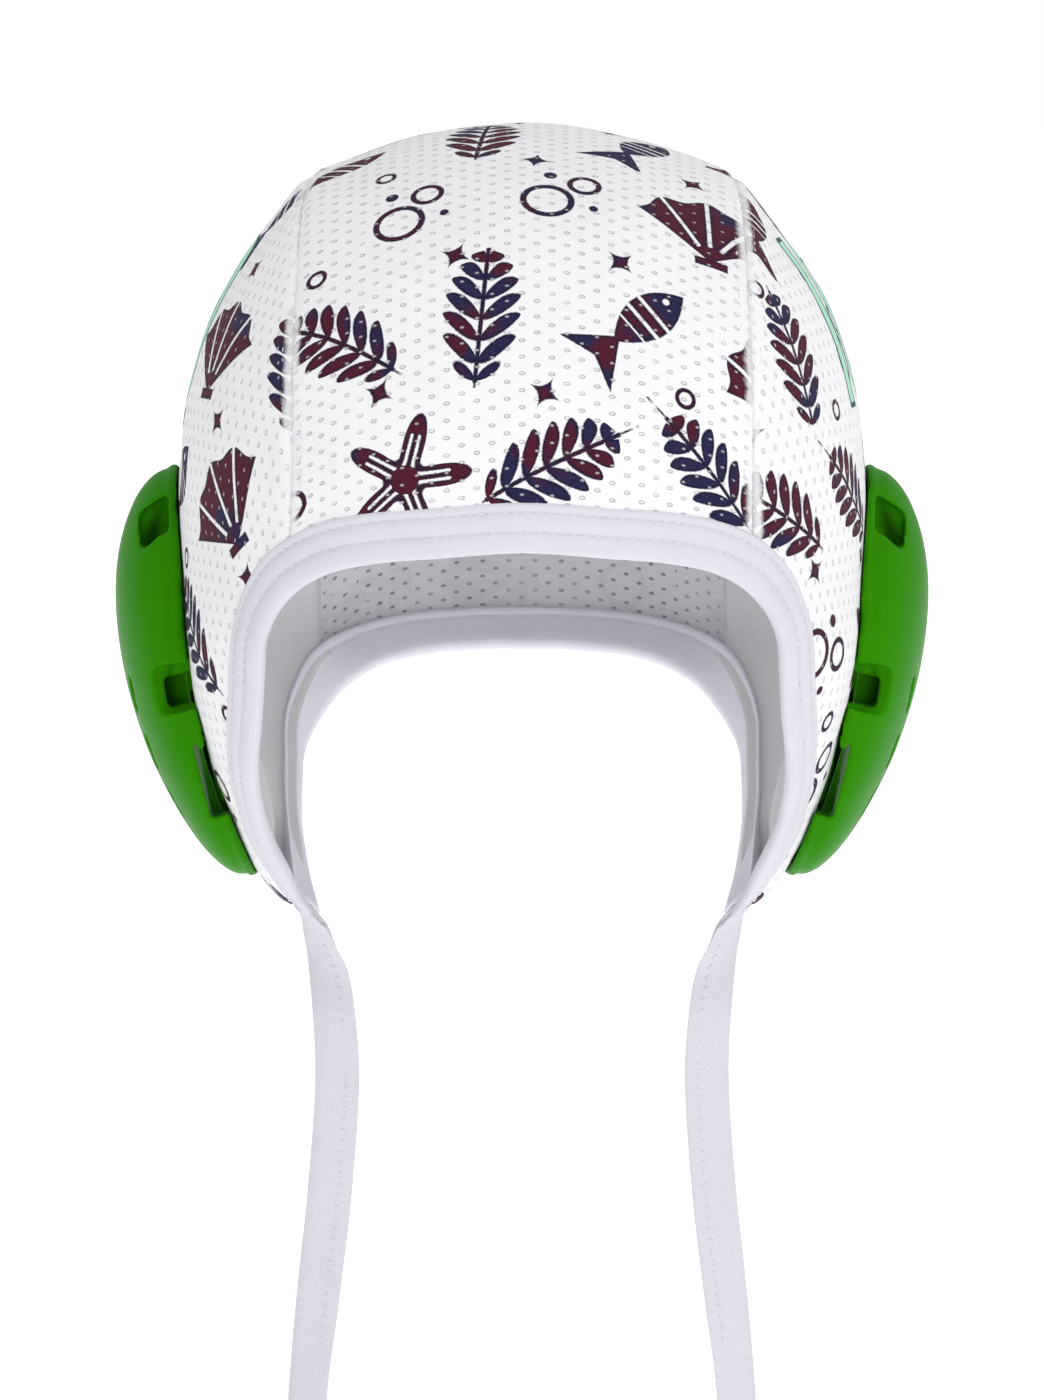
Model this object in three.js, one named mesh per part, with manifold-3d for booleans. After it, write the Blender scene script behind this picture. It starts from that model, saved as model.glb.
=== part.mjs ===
// A water polo cap: three panels of perforated cloth, a plain lining inside each ear flap, a bound face edge,
// a bound neck edge, a moulded guard over each ear and two tape ties that hang from the flap tips.
// Sizes are in millimetres. The wearer looks along -Y, +X is on the right of someone who faces the cap and
// +Z is up. The origin is the inner top of the crown, where the wearer's head carries the cap.

import * as THREE from "three";
import { mergeVertices } from "three/addons/utils/BufferGeometryUtils.js";
import Module from "manifold-3d";

const wasm = await Module();
wasm.setup();

// Head form, which the inner face of the cloth follows
const HALF_WIDTH = 83;
const FRONT_REACH = 97;
const BACK_REACH = 103;
const CROWN_HEIGHT = 90.5;
const CROWN_FULLNESS = 2.24;
const BROW_SQUARENESS = 2.3;

// Ear guards: the length runs up and down, the breadth front to back
const GUARD_LENGTH = 100;
const GUARD_BREADTH = 76;
const GUARD_STAND = 18.3;
const GUARD_WALL = 2;
const GUARD_TILT = 4;
const GUARD_FULLNESS = 2.1;
const GUARD_LEAN = 0.16;
const EAR_DROP = 42;
const EAR_Y = 2;

// Ear flaps
const HEM_MARGIN = 15;
const FLAP_DEPTH = EAR_DROP + GUARD_LENGTH / 2 + HEM_MARGIN;

// Cloth, tape and the gaps that keep the pieces apart
const CLOTH = 1.2;
const LINING = 1;
const TAPE_WIDTH = 11;
const TAPE_THICKNESS = 2;
const BINDING_OUTSIDE = 1.8;
const BINDING_INSIDE = 1.5;
const TIE_LENGTH = 138;
const TIE_LEAD = 4;
const PIECE_GAP = 0.3;
const RIM_GAP = 0.75;
const HOLE_GAP = 0.8;
const SEAT_GAP = 0.5;

// Seams between the centre panel and the side panels: how far out they run, as shares of the half width, and
// the low ridge that each seam raises
const SEAM_FRONT = 0.645;
const SEAM_TOP = 0.6;
const RIDGE_HEIGHT = 2.4;
const RIDGE_SPREAD = 9;
const PIVOT_DROP = 0.12;

// How the guard grips the cloth: a waist inside the hole in the cloth and a flange behind it
const WAIST_INSET = 6;
const FLANGE_INSET = 2.5;
const FLANGE_THICKNESS = 1.6;
const LIP_HEIGHT = 2;
const LIP_INSET = 0.9;

// How finely each piece is divided
const CENTER_COLUMNS = 18;
const SEAM_STEPS = 20;
const NECK_STEPS = 9;
const HEM_STEPS = 2;
const FACE_STEPS = 15;
const SIDE_BANDS = 6;
const LINING_BANDS = 3;
const FACE_STATIONS = 54;
const NECK_STATIONS = 40;
const TIE_STATIONS = 20;
const GUARD_SEGMENTS = 48;
const DOME_STEPS = 6;
const BASE_STEPS = 5;
const RIM_DIVISIONS = 300;
const HALVINGS = 40;
const SURFACE_STEPS = 4;
const PROBE = 0.05;
const MERGE_DISTANCE = 0.001;

// Level sections of the head form below the brow. Depth is a share of FLAP_DEPTH; width, front and back are
// shares of HALF_WIDTH, FRONT_REACH and BACK_REACH; squareness 2 is an ellipse.
const SECTIONS = [
  { depth: 0, width: 1, front: 1, back: 1, frontSquareness: 2.3, backSquareness: 2.3 },
  { depth: 0.18, width: 0.99, front: 0.96, back: 0.98, frontSquareness: 2.6, backSquareness: 2.5 },
  { depth: 0.345, width: 0.968, front: 0.825, back: 0.91, frontSquareness: 3.4, backSquareness: 3 },
  { depth: 0.485, width: 0.938, front: 0.74, back: 0.755, frontSquareness: 3.4, backSquareness: 3.1 },
  { depth: 0.625, width: 0.896, front: 0.65, back: 0.595, frontSquareness: 3.1, backSquareness: 3 },
  { depth: 0.785, width: 0.82, front: 0.505, back: 0.42, frontSquareness: 2.7, backSquareness: 2.6 },
  { depth: 0.935, width: 0.69, front: 0.31, back: 0.194, frontSquareness: 2.2, backSquareness: 2.2 },
  { depth: 1, width: 0.56, front: 0.19, back: 0.1, frontSquareness: 2.2, backSquareness: 2.2 },
];

// Edge of the cloth round the face, from the middle of the brow to a flap tip. Azimuth is degrees round from
// the front, drop is a share of FLAP_DEPTH below the brow.
const FACE_RIM = [
  { azimuth: 0, drop: -0.056, flare: 0 },
  { azimuth: 12, drop: -0.043, flare: 0 },
  { azimuth: 22, drop: -0.027, flare: 0 },
  { azimuth: 30, drop: 0.003, flare: 0 },
  { azimuth: 37, drop: 0.058, flare: 0 },
  { azimuth: 41.5, drop: 0.125, flare: 4 },
  { azimuth: 44.6, drop: 0.21, flare: 10 },
  { azimuth: 46.6, drop: 0.3, flare: 14 },
  { azimuth: 49.2, drop: 0.39, flare: 16 },
  { azimuth: 53.4, drop: 0.485, flare: 17 },
  { azimuth: 58.4, drop: 0.585, flare: 16 },
  { azimuth: 63.6, drop: 0.687, flare: 14 },
  { azimuth: 68.4, drop: 0.785, flare: 14 },
  { azimuth: 72.6, drop: 0.855, flare: 18 },
  { azimuth: 76.5, drop: 0.91, flare: 20 },
];

// Edge of the cloth round the neck, from the middle of the nape to a flap tip. Flare is how many degrees the
// binding there turns outwards from the cloth.
const NECK_RIM = [
  { azimuth: 180, drop: 0.342, flare: 0 },
  { azimuth: 170, drop: 0.346, flare: 0 },
  { azimuth: 160, drop: 0.361, flare: 2 },
  { azimuth: 151.5, drop: 0.389, flare: 6 },
  { azimuth: 143.5, drop: 0.434, flare: 18 },
  { azimuth: 136, drop: 0.508, flare: 32 },
  { azimuth: 130.5, drop: 0.573, flare: 38 },
  { azimuth: 125.5, drop: 0.645, flare: 40 },
  { azimuth: 118, drop: 0.736, flare: 40 },
  { azimuth: 109.5, drop: 0.82, flare: 38 },
  { azimuth: 101, drop: 0.885, flare: 28 },
];

// Section of a binding: across is a share of TAPE_WIDTH from the cloth towards the opening, height a share of
// BINDING_OUTSIDE above the head form or, below zero, of BINDING_INSIDE under it
const BINDING_SECTION = [
  { across: 0, height: 0.55 },
  { across: 0.1, height: 1 },
  { across: 0.9, height: 1 },
  { across: 1, height: 0.45 },
  { across: 1, height: -0.55 },
  { across: 0.9, height: -1 },
  { across: 0.1, height: -1 },
  { across: 0, height: -0.7 },
];

// Section of a tie, as shares of its half width and half thickness
const TIE_SECTION = [
  { across: -1, height: 0.5 },
  { across: -0.88, height: 1 },
  { across: 0.88, height: 1 },
  { across: 1, height: 0.5 },
  { across: 1, height: -0.5 },
  { across: 0.88, height: -1 },
  { across: -0.88, height: -1 },
  { across: -1, height: -0.5 },
];

// Middle line of a tie below the flap tip. Fall is a share of TIE_LENGTH, out of HALF_WIDTH and back of
// BACK_REACH; turn is the angle in degrees of the tape's width from the left-right direction.
const TIE_ROUTE = [
  { fall: 0.085, out: 0.603, back: -0.135, turn: 56 },
  { fall: 0.135, out: 0.581, back: -0.132, turn: 42 },
  { fall: 0.2, out: 0.565, back: -0.14, turn: 28 },
  { fall: 0.32, out: 0.554, back: -0.135, turn: 6 },
  { fall: 0.54, out: 0.576, back: -0.14, turn: 0 },
  { fall: 0.68, out: 0.6, back: -0.15, turn: 6 },
  { fall: 0.84, out: 0.627, back: -0.16, turn: 24 },
  { fall: 1, out: 0.648, back: -0.17, turn: 30 },
];

// Blind pockets in each guard's front and back flanks. Up is a share of half the guard's length and out a
// share of its stand; wide, high and deep, across the flank, up it and into it, are shares of the guard's
// stand, length and breadth.
const POCKETS = [
  { up: 0.62, out: 0.5, wide: 0.41, high: 0.13, deep: 0.092 },
  { up: -0.13, out: 0.5, wide: 0.465, high: 0.11, deep: 0.092 },
];

// Notches in each flank that reach past the edge of the guard's base, in the same columns
const NOTCHES = [{ up: -0.52, out: 0.3, wide: 0.49, high: 0.22, deep: 0.184 }];

// Slots through each guard's outer face: up and along are shares of half its length and half its breadth,
// and long is a share of its length. A slot that lies further along is turned more, up to SLOT_TURN degrees.
const SLOTS = [
  { up: -0.12, along: 0.5, long: 0.09 },
  { up: -0.4, along: 0.46, long: 0.09 },
  { up: -0.64, along: 0.36, long: 0.09 },
  { up: -0.8, along: 0.13, long: 0.07 },
];
const SLOT_WIDTH = 3.2;
const SLOT_TURN = 30;

const clothMaterial = new THREE.MeshStandardMaterial({ color: 0xe6e5eb, roughness: 0.85, metalness: 0 });
const liningMaterial = new THREE.MeshStandardMaterial({ color: 0xd6d5da, roughness: 0.8, metalness: 0 });
const bindingMaterial = new THREE.MeshStandardMaterial({ color: 0xdedce6, roughness: 0.7, metalness: 0 });
const tieMaterial = new THREE.MeshStandardMaterial({ color: 0xe4e1ed, roughness: 0.75, metalness: 0 });
const guardMaterial = new THREE.MeshStandardMaterial({ color: 0x2f8504, roughness: 0.45, metalness: 0 });

// Smooth value of one column of a table at a place along its key column
function valueAt(table, key, column, place) {
  let row = 0;
  while (row < table.length - 2 && place > table[row + 1][key]) {
    row += 1;
  }
  const slope = (index) => {
    const before = table[Math.max(0, index - 1)];
    const after = table[Math.min(table.length - 1, index + 1)];
    return (after[column] - before[column]) / (after[key] - before[key]);
  };
  const from = table[row];
  const to = table[row + 1];
  const span = to[key] - from[key];
  const t = THREE.MathUtils.clamp((place - from[key]) / span, 0, 1);
  const stay = 2 * t ** 3 - 3 * t ** 2 + 1;
  const leave = t ** 3 - 2 * t ** 2 + t;
  const arrive = t ** 3 - t ** 2;
  const bend = leave * slope(row) + arrive * slope(row + 1);
  return stay * from[column] + (1 - stay) * to[column] + span * bend;
}

// Below 1 inside the head form, 1 on it and above 1 outside it
function fullness(point) {
  const depth = Math.max(0, (-point.z - CROWN_HEIGHT) / FLAP_DEPTH);
  const rise = Math.max(0, (point.z + CROWN_HEIGHT) / CROWN_HEIGHT);
  const ahead = point.y < 0;
  const reach = ahead
    ? FRONT_REACH * valueAt(SECTIONS, "depth", "front", depth)
    : BACK_REACH * valueAt(SECTIONS, "depth", "back", depth);
  const squareness = rise > 0
    ? BROW_SQUARENESS
    : valueAt(SECTIONS, "depth", ahead ? "frontSquareness" : "backSquareness", depth);
  const width = HALF_WIDTH * valueAt(SECTIONS, "depth", "width", depth);
  const across = (Math.abs(point.x) / width) ** squareness + (Math.abs(point.y) / reach) ** squareness;
  return (across ** (CROWN_FULLNESS / squareness) + rise ** CROWN_FULLNESS) ** (1 / CROWN_FULLNESS);
}

// Where a straight way out of the head form leaves it
function leaving(origin, direction) {
  let inside = 0;
  let outside = 2 * BACK_REACH;
  for (let step = 0; step < HALVINGS; step += 1) {
    const middle = (inside + outside) / 2;
    if (fullness(origin.clone().addScaledVector(direction, middle)) < 1) {
      inside = middle;
    } else {
      outside = middle;
    }
  }
  return origin.clone().addScaledVector(direction, inside);
}

function gradient(point) {
  const steps = ["x", "y", "z"].map((axis) => {
    const ahead = point.clone();
    const behind = point.clone();
    ahead[axis] += PROBE;
    behind[axis] -= PROBE;
    return (fullness(ahead) - fullness(behind)) / (2 * PROBE);
  });
  return new THREE.Vector3(...steps);
}

function outward(point) {
  return gradient(point).normalize();
}

// Half spread of the seams at an angle that runs from the front over the crown to the back
function seamSpread(angle) {
  const overhead = Math.sin(angle) ** 2;
  return HALF_WIDTH * THREE.MathUtils.lerp(SEAM_FRONT, SEAM_TOP, overhead);
}

// A point off the head form by a height, with the ridge that the seams raise in the cloth
function lifted(point, height) {
  const aside = (Math.abs(point.x) - HALF_WIDTH * SEAM_TOP) / RIDGE_SPREAD;
  const overhead = THREE.MathUtils.smoothstep(point.z, -CROWN_HEIGHT, 0);
  const ridge = RIDGE_HEIGHT * Math.exp(-(aside ** 2)) * overhead;
  return point.clone().addScaledVector(outward(point), height + ridge);
}

// Where the angles over the crown are measured from
const PIVOT_Z = -CROWN_HEIGHT - PIVOT_DROP * FLAP_DEPTH;

// Point of the cloth at a share of the seam spread and an angle over the crown
function clothPoint(share, angle, aside = 0) {
  const origin = new THREE.Vector3(share * seamSpread(angle) + aside, 0, PIVOT_Z);
  return leaving(origin, new THREE.Vector3(0, -Math.cos(angle), Math.sin(angle)));
}

function angleOf(point) {
  const angle = Math.atan2(point.z - PIVOT_Z, -point.y);
  return angle < -Math.PI / 2 ? angle + 2 * Math.PI : angle;
}

// Point of the head form's side at a place seen from the side
function sidePoint(y, z) {
  return leaving(new THREE.Vector3(0, y, z), new THREE.Vector3(1, 0, 0));
}

// Smooth curve along a rim, from one flap tip round the middle to the other
function rimCurve(rows, from) {
  const half = rows.map(({ azimuth, drop }) => {
    const turn = THREE.MathUtils.degToRad(azimuth);
    const origin = new THREE.Vector3(0, 0, -CROWN_HEIGHT - drop * FLAP_DEPTH);
    return leaving(origin, new THREE.Vector3(-from * Math.sin(turn), -Math.cos(turn), 0));
  });
  const other = half.slice(1).map((point) => new THREE.Vector3(-point.x, point.y, point.z));
  const curve = new THREE.CatmullRomCurve3([...other.reverse(), ...half]);
  curve.arcLengthDivisions = RIM_DIVISIONS;
  curve.rows = rows;
  return curve;
}

const faceRim = rimCurve(FACE_RIM, -1);
const neckRim = rimCurve(NECK_RIM, 1);

// Places along a rim: its middle, and how far towards the +X tip a seam can cross it
const RIM_MIDDLE = 0.5;
const FACE_REACH = 0.8;
const NECK_REACH = 0.1;

// Place along a rim where it crosses a line of the cloth on the +X side, before a place given
function rimCrossing(rim, share, aside, before) {
  let low = RIM_MIDDLE;
  let high = before;
  for (let step = 0; step < HALVINGS; step += 1) {
    const place = (low + high) / 2;
    const point = rim.getPointAt(place);
    if (Math.abs(point.x) < share * seamSpread(angleOf(point)) + aside) {
      low = place;
    } else {
      high = place;
    }
  }
  return low;
}

// Closed wall between two heights over a grid of points on the head form. A closed grid joins its last
// column to its first.
function sheet(grid, low, high, closed) {
  const rows = grid.length;
  const columns = grid[0].length;
  const points = [high, low].flatMap((height) => grid.flat().map((point) => lifted(point, height)));
  const at = (row, column, side) => side * rows * columns + row * columns + (column % columns);
  const index = [];
  const quad = (a, b, c, d) => index.push(a, b, c, a, c, d);
  const lastRow = rows - 1;
  const lastColumn = closed ? columns : columns - 1;
  for (let column = 0; column < lastColumn; column += 1) {
    const next = column + 1;
    for (let row = 0; row < lastRow; row += 1) {
      quad(at(row, column, 0), at(row, next, 0), at(row + 1, next, 0), at(row + 1, column, 0));
      quad(at(row, column, 1), at(row + 1, column, 1), at(row + 1, next, 1), at(row, next, 1));
    }
    quad(at(0, next, 0), at(0, column, 0), at(0, column, 1), at(0, next, 1));
    quad(at(lastRow, column, 0), at(lastRow, next, 0), at(lastRow, next, 1), at(lastRow, column, 1));
  }
  for (let row = 0; row < lastRow && !closed; row += 1) {
    const next = row + 1;
    quad(at(row, 0, 0), at(next, 0, 0), at(next, 0, 1), at(row, 0, 1));
    quad(at(next, lastColumn, 0), at(row, lastColumn, 0), at(row, lastColumn, 1), at(next, lastColumn, 1));
  }
  return facing(points, index);
}

// Closed tape through rings of points, with flat ends
function tape(rings) {
  const size = rings[0].length;
  const index = [];
  for (let ring = 0; ring < rings.length - 1; ring += 1) {
    for (let corner = 0; corner < size; corner += 1) {
      const next = (corner + 1) % size;
      const a = ring * size;
      const b = a + size;
      index.push(a + corner, b + corner, b + next, a + corner, b + next, a + next);
    }
  }
  const last = (rings.length - 1) * size;
  for (let corner = 1; corner < size - 1; corner += 1) {
    index.push(0, corner, corner + 1);
    index.push(last, last + corner + 1, last + corner);
  }
  return facing(rings.flat(), index);
}

// Geometry of points and triangles, turned round if its faces point inwards
function facing(points, index) {
  let volume = 0;
  for (let i = 0; i < index.length; i += 3) {
    const [a, b, c] = index.slice(i, i + 3).map((corner) => points[corner]);
    volume += a.dot(b.clone().cross(c));
  }
  const geometry = new THREE.BufferGeometry().setFromPoints(points);
  geometry.setIndex(volume < 0 ? index.reverse() : index);
  geometry.computeVertexNormals();
  return geometry;
}

// Centre panel: from the brow over the crown to the nape
function centerPanel() {
  const seam = PIECE_GAP / 2;
  const columns = Array.from({ length: CENTER_COLUMNS + 1 }, (_, column) => {
    const share = (2 * column) / CENTER_COLUMNS - 1;
    const width = Math.abs(share);
    const brow = angleOf(faceRim.getPointAt(rimCrossing(faceRim, width, -seam * width, FACE_REACH)));
    const nape = angleOf(neckRim.getPointAt(rimCrossing(neckRim, width, -seam * width, NECK_REACH)));
    return { share, brow, nape };
  });
  const grid = Array.from({ length: SEAM_STEPS + 1 }, (_, row) =>
    columns.map(({ share, brow, nape }) => {
      const angle = THREE.MathUtils.lerp(brow, nape, row / SEAM_STEPS);
      return clothPoint(share, angle, -seam * share);
    }),
  );
  return sheet(grid, 0, CLOTH, false);
}

// Outline of the +X side panel: seam from front to back, neck rim, hem at the flap tip and face rim
function sideOutline() {
  const seam = PIECE_GAP / 2;
  const browPlace = rimCrossing(faceRim, 1, seam, FACE_REACH);
  const napePlace = rimCrossing(neckRim, 1, seam, NECK_REACH);
  const brow = angleOf(faceRim.getPointAt(browPlace));
  const nape = angleOf(neckRim.getPointAt(napePlace));
  const steps = (count, point) => Array.from({ length: count }, (_, step) => point(step / count));
  const seamPoints = steps(SEAM_STEPS, (t) => clothPoint(1, THREE.MathUtils.lerp(brow, nape, t), seam));
  const neckPoints = steps(NECK_STEPS, (t) => neckRim.getPointAt(THREE.MathUtils.lerp(napePlace, 0, t)));
  const hemPoints = steps(HEM_STEPS, (t) => neckRim.getPointAt(0).lerp(faceRim.getPointAt(1), t));
  const facePoints = steps(FACE_STEPS, (t) => faceRim.getPointAt(THREE.MathUtils.lerp(1, browPlace, t)));
  return [...seamPoints, ...neckPoints, ...hemPoints, ...facePoints];
}

const EAR_Z = -CROWN_HEIGHT - EAR_DROP;
const HOLE_LENGTH = GUARD_LENGTH / 2 - WAIST_INSET + HOLE_GAP;
const HOLE_BREADTH = HOLE_LENGTH * (GUARD_BREADTH / GUARD_LENGTH);

// Grid of the +X side panel: rings that grow from the hole under the guard to the outline
function sideGrid(bands) {
  const outline = sideOutline();
  return Array.from({ length: bands + 1 }, (_, band) =>
    outline.map((edge) => {
      const turn = Math.atan2((edge.z - EAR_Z) / HOLE_LENGTH, (edge.y - EAR_Y) / HOLE_BREADTH);
      const holeY = EAR_Y + HOLE_BREADTH * Math.cos(turn);
      const holeZ = EAR_Z + HOLE_LENGTH * Math.sin(turn);
      const y = THREE.MathUtils.lerp(holeY, edge.y, band / bands);
      const z = THREE.MathUtils.lerp(holeZ, edge.z, band / bands);
      return sidePoint(y, z);
    }),
  );
}

// Ways along, across and out of a binding at a place on its rim
function rimWays(rim, place) {
  const point = rim.getPointAt(place);
  const along = rim.getTangentAt(place);
  const across = along.clone().cross(outward(point)).normalize();
  return { point, along, across };
}

// Angle that a binding turns outwards from the cloth at a place on its rim
function flareAt(rim, place) {
  const rows = rim.rows.map(({ flare }, row) => ({ row, flare }));
  const t = rim.getUtoTmapping(place);
  return THREE.MathUtils.degToRad(valueAt(rows, "row", "flare", Math.abs(2 * t - 1) * (rows.length - 1)));
}

// Point at a distance across a rim and a height, walked along the head form and then raised by the flare
function acrossRim(rim, place, distance, height) {
  const { point, along } = rimWays(rim, place);
  const flare = flareAt(rim, place);
  const stride = (distance * Math.cos(flare)) / SURFACE_STEPS;
  for (let step = 0; step < SURFACE_STEPS; step += 1) {
    point.addScaledVector(along.clone().cross(outward(point)).normalize(), stride);
    const slope = gradient(point);
    point.addScaledVector(slope, (1 - fullness(point)) / slope.lengthSq());
  }
  return lifted(point, height + distance * Math.sin(flare));
}

function bindingRing(rim, place) {
  return BINDING_SECTION.map(({ across, height }) => {
    const raised = height * (height > 0 ? BINDING_OUTSIDE : BINDING_INSIDE);
    return acrossRim(rim, place, RIM_GAP + across * TAPE_WIDTH, raised);
  });
}

function binding(rim, stations) {
  return tape(Array.from({ length: stations + 1 }, (_, station) => bindingRing(rim, station / stations)));
}

// Tie on the +X side: it carries on from the end of the face binding, twists to face forward and hangs down
function tie() {
  const tipZ = -CROWN_HEIGHT - FLAP_DEPTH * FACE_RIM[FACE_RIM.length - 1].drop;
  const { along, across } = rimWays(faceRim, 1);
  const ring = bindingRing(faceRim, 1);
  const start = ring.reduce((sum, point) => sum.add(point), new THREE.Vector3()).divideScalar(ring.length);
  start.addScaledVector(along, PIECE_GAP);
  const lead = start.clone().addScaledVector(along, TIE_LEAD);
  const middles = TIE_ROUTE.map(
    ({ fall, out, back }) => new THREE.Vector3(out * HALF_WIDTH, back * BACK_REACH, tipZ - fall * TIE_LENGTH),
  );
  const widths = TIE_ROUTE.map(({ turn }) => {
    const angle = THREE.MathUtils.degToRad(turn);
    return new THREE.Vector3(-Math.cos(angle), -Math.sin(angle), 0);
  });
  const route = new THREE.CatmullRomCurve3([start, lead, ...middles]);
  const spread = new THREE.CatmullRomCurve3([across, across, ...widths]);
  const rings = Array.from({ length: TIE_STATIONS + 1 }, (_, station) => {
    const t = station / TIE_STATIONS;
    const middle = route.getPoint(t);
    const down = route.getTangent(t);
    const thick = down.clone().cross(spread.getPoint(t)).normalize();
    const wide = thick.clone().cross(down).normalize();
    return TIE_SECTION.map((corner) =>
      middle
        .clone()
        .addScaledVector(wide, (corner.across * TAPE_WIDTH) / 2)
        .addScaledVector(thick, (corner.height * TAPE_THICKNESS) / 2),
    );
  });
  return tape(rings);
}

// Solid of a geometry whose shared vertices are joined, for cutting and joining
function solidOf(geometry) {
  const bare = geometry.clone();
  bare.deleteAttribute("normal");
  bare.deleteAttribute("uv");
  const merged = mergeVertices(bare, MERGE_DISTANCE);
  const vertProperties = merged.attributes.position.array;
  const triVerts = new Uint32Array(merged.index.array);
  return new wasm.Manifold(new wasm.Mesh({ numProp: 3, vertProperties, triVerts }));
}

function geometryOf(solid) {
  const { vertProperties, triVerts } = solid.getMesh();
  const geometry = new THREE.BufferGeometry();
  geometry.setAttribute("position", new THREE.BufferAttribute(vertProperties, 3));
  geometry.setIndex(new THREE.BufferAttribute(triVerts, 1));
  geometry.computeVertexNormals();
  return geometry;
}

const tilt = THREE.MathUtils.degToRad(GUARD_TILT);
const guardAxis = new THREE.Vector3(Math.cos(tilt), 0, -Math.sin(tilt));

// Point of the +X guard from its place over the ear and its height above the head form. Low down it stands
// square to the cloth, and further out it follows the guard's own axis.
function guardPoint(up, along, height) {
  const foot = sidePoint(EAR_Y + along, EAR_Z + up);
  const share = THREE.MathUtils.smoothstep(height, CLOTH + LIP_HEIGHT, GUARD_STAND);
  const lean = 1 + (share * GUARD_LEAN * up) / (GUARD_LENGTH / 2);
  return foot.addScaledVector(outward(foot).lerp(guardAxis, share).normalize(), height * lean);
}

// Round profile turned about the guard's middle, made oval and laid on the side of the head form. The dome
// is a little fuller above the ear than below it.
function guardTurned(profile) {
  const turned = new THREE.LatheGeometry(profile, GUARD_SEGMENTS);
  const place = turned.attributes.position;
  for (let i = 0; i < place.count; i += 1) {
    const up = place.getX(i);
    const along = place.getZ(i) * (GUARD_BREADTH / GUARD_LENGTH);
    const point = guardPoint(up, along, place.getY(i));
    place.setXYZ(i, point.x, point.y, point.z);
  }
  return turned;
}

// Dome profile from the middle out to the foot, at a radius, a top height and a foot height
function dome(radius, top, foot) {
  return Array.from({ length: DOME_STEPS + 1 }, (_, step) => {
    const turn = (step / DOME_STEPS) * (Math.PI / 2);
    const out = radius * Math.sin(turn) ** (2 / GUARD_FULLNESS);
    const up = foot + (top - foot) * Math.cos(turn) ** (2 / GUARD_FULLNESS);
    return new THREE.Vector2(step ? out : 0, step < DOME_STEPS ? up : foot);
  });
}

// Box that cuts into a guard's flank from in front or behind, at a place on the oval
function flankBox({ up, out, wide, high, deep }, side, growth) {
  const width = wide * GUARD_STAND;
  const height = high * GUARD_LENGTH;
  const depth = deep * GUARD_BREADTH;
  const lift = up * (GUARD_LENGTH / 2);
  const half = (GUARD_BREADTH / 2) * Math.sqrt(1 - up ** 2);
  const flank = half * (1 - out ** GUARD_FULLNESS) ** (1 / GUARD_FULLNESS);
  const box = new THREE.BoxGeometry(width + 2 * growth, depth + growth, height + 2 * growth);
  const middle = guardPoint(lift, side * (flank - depth / 2 + GUARD_WALL), out * GUARD_STAND);
  box.translate(0, -side * (growth / 2), 0);
  box.rotateY(tilt);
  return solidOf(box.translate(middle.x, middle.y, middle.z));
}

// Slot through the outer face of a guard
function slotBox({ up, along, long }, side) {
  const box = new THREE.BoxGeometry(GUARD_STAND, SLOT_WIDTH, long * GUARD_LENGTH);
  box.rotateX(-side * along * THREE.MathUtils.degToRad(SLOT_TURN));
  box.rotateY(tilt);
  const lift = up * (GUARD_LENGTH / 2);
  const aside = side * along * (GUARD_BREADTH / 2);
  const height = GUARD_STAND * Math.sqrt(Math.max(0, 1 - up ** 2 - along ** 2));
  const middle = guardPoint(lift, aside, height);
  return solidOf(box.translate(middle.x, middle.y, middle.z));
}

// Guard on the +X side: a hollow dome, a waist through the cloth's hole and a flange behind the cloth
function earGuard() {
  const radius = GUARD_LENGTH / 2;
  const seat = CLOTH + SEAT_GAP;
  const lipTop = seat + LIP_HEIGHT;
  const behind = -PIECE_GAP - LINING - SEAT_GAP;
  const back = behind - FLANGE_THICKNESS;
  const waist = radius - WAIST_INSET;
  const flange = radius - FLANGE_INSET;
  const cup = waist - GUARD_WALL;
  const outer = dome(radius - LIP_INSET, GUARD_STAND, lipTop);
  const inner = dome(radius - LIP_INSET - GUARD_WALL, GUARD_STAND - GUARD_WALL, lipTop).reverse();
  const at = (r, h) => new THREE.Vector2(r, h);
  const lip = [at(radius, lipTop), at(radius, seat), at((radius + waist) / 2, seat)];
  const grip = [at(waist, seat), at(waist, behind), at(flange, behind), at(flange, back), at(cup, back)];
  const shell = solidOf(guardTurned([...outer, ...lip, ...grip, at(cup, lipTop), ...inner].reverse()));
  const inwards = Array.from({ length: BASE_STEPS }, (_, step) => 1 - (step + 1) / BASE_STEPS);
  const base = inwards.map((share) => at(radius * share, seat + SEAT_GAP));
  const full = solidOf(guardTurned([...outer, ...lip, ...base].reverse()));
  let guard = shell;
  for (const side of [-1, 1]) {
    for (const recess of [...POCKETS, ...NOTCHES]) {
      guard = guard.add(flankBox(recess, side, GUARD_WALL).intersect(full));
    }
    for (const recess of [...POCKETS, ...NOTCHES]) {
      guard = guard.subtract(flankBox(recess, side, 0));
    }
    for (const slot of SLOTS) {
      guard = guard.subtract(slotBox(slot, side));
    }
  }
  return geometryOf(guard);
}

const cap = new THREE.Group();

function addPiece(name, geometry, material) {
  const piece = new THREE.Mesh(geometry, material);
  piece.name = name;
  cap.add(piece);
  return piece;
}

// The same geometry on both sides: the one on the left of someone facing the cap is mirrored
function addPair(name, geometry, material) {
  addPiece(`${name}_right`, geometry, material);
  addPiece(`${name}_left`, geometry, material).scale.x = -1;
}

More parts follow.
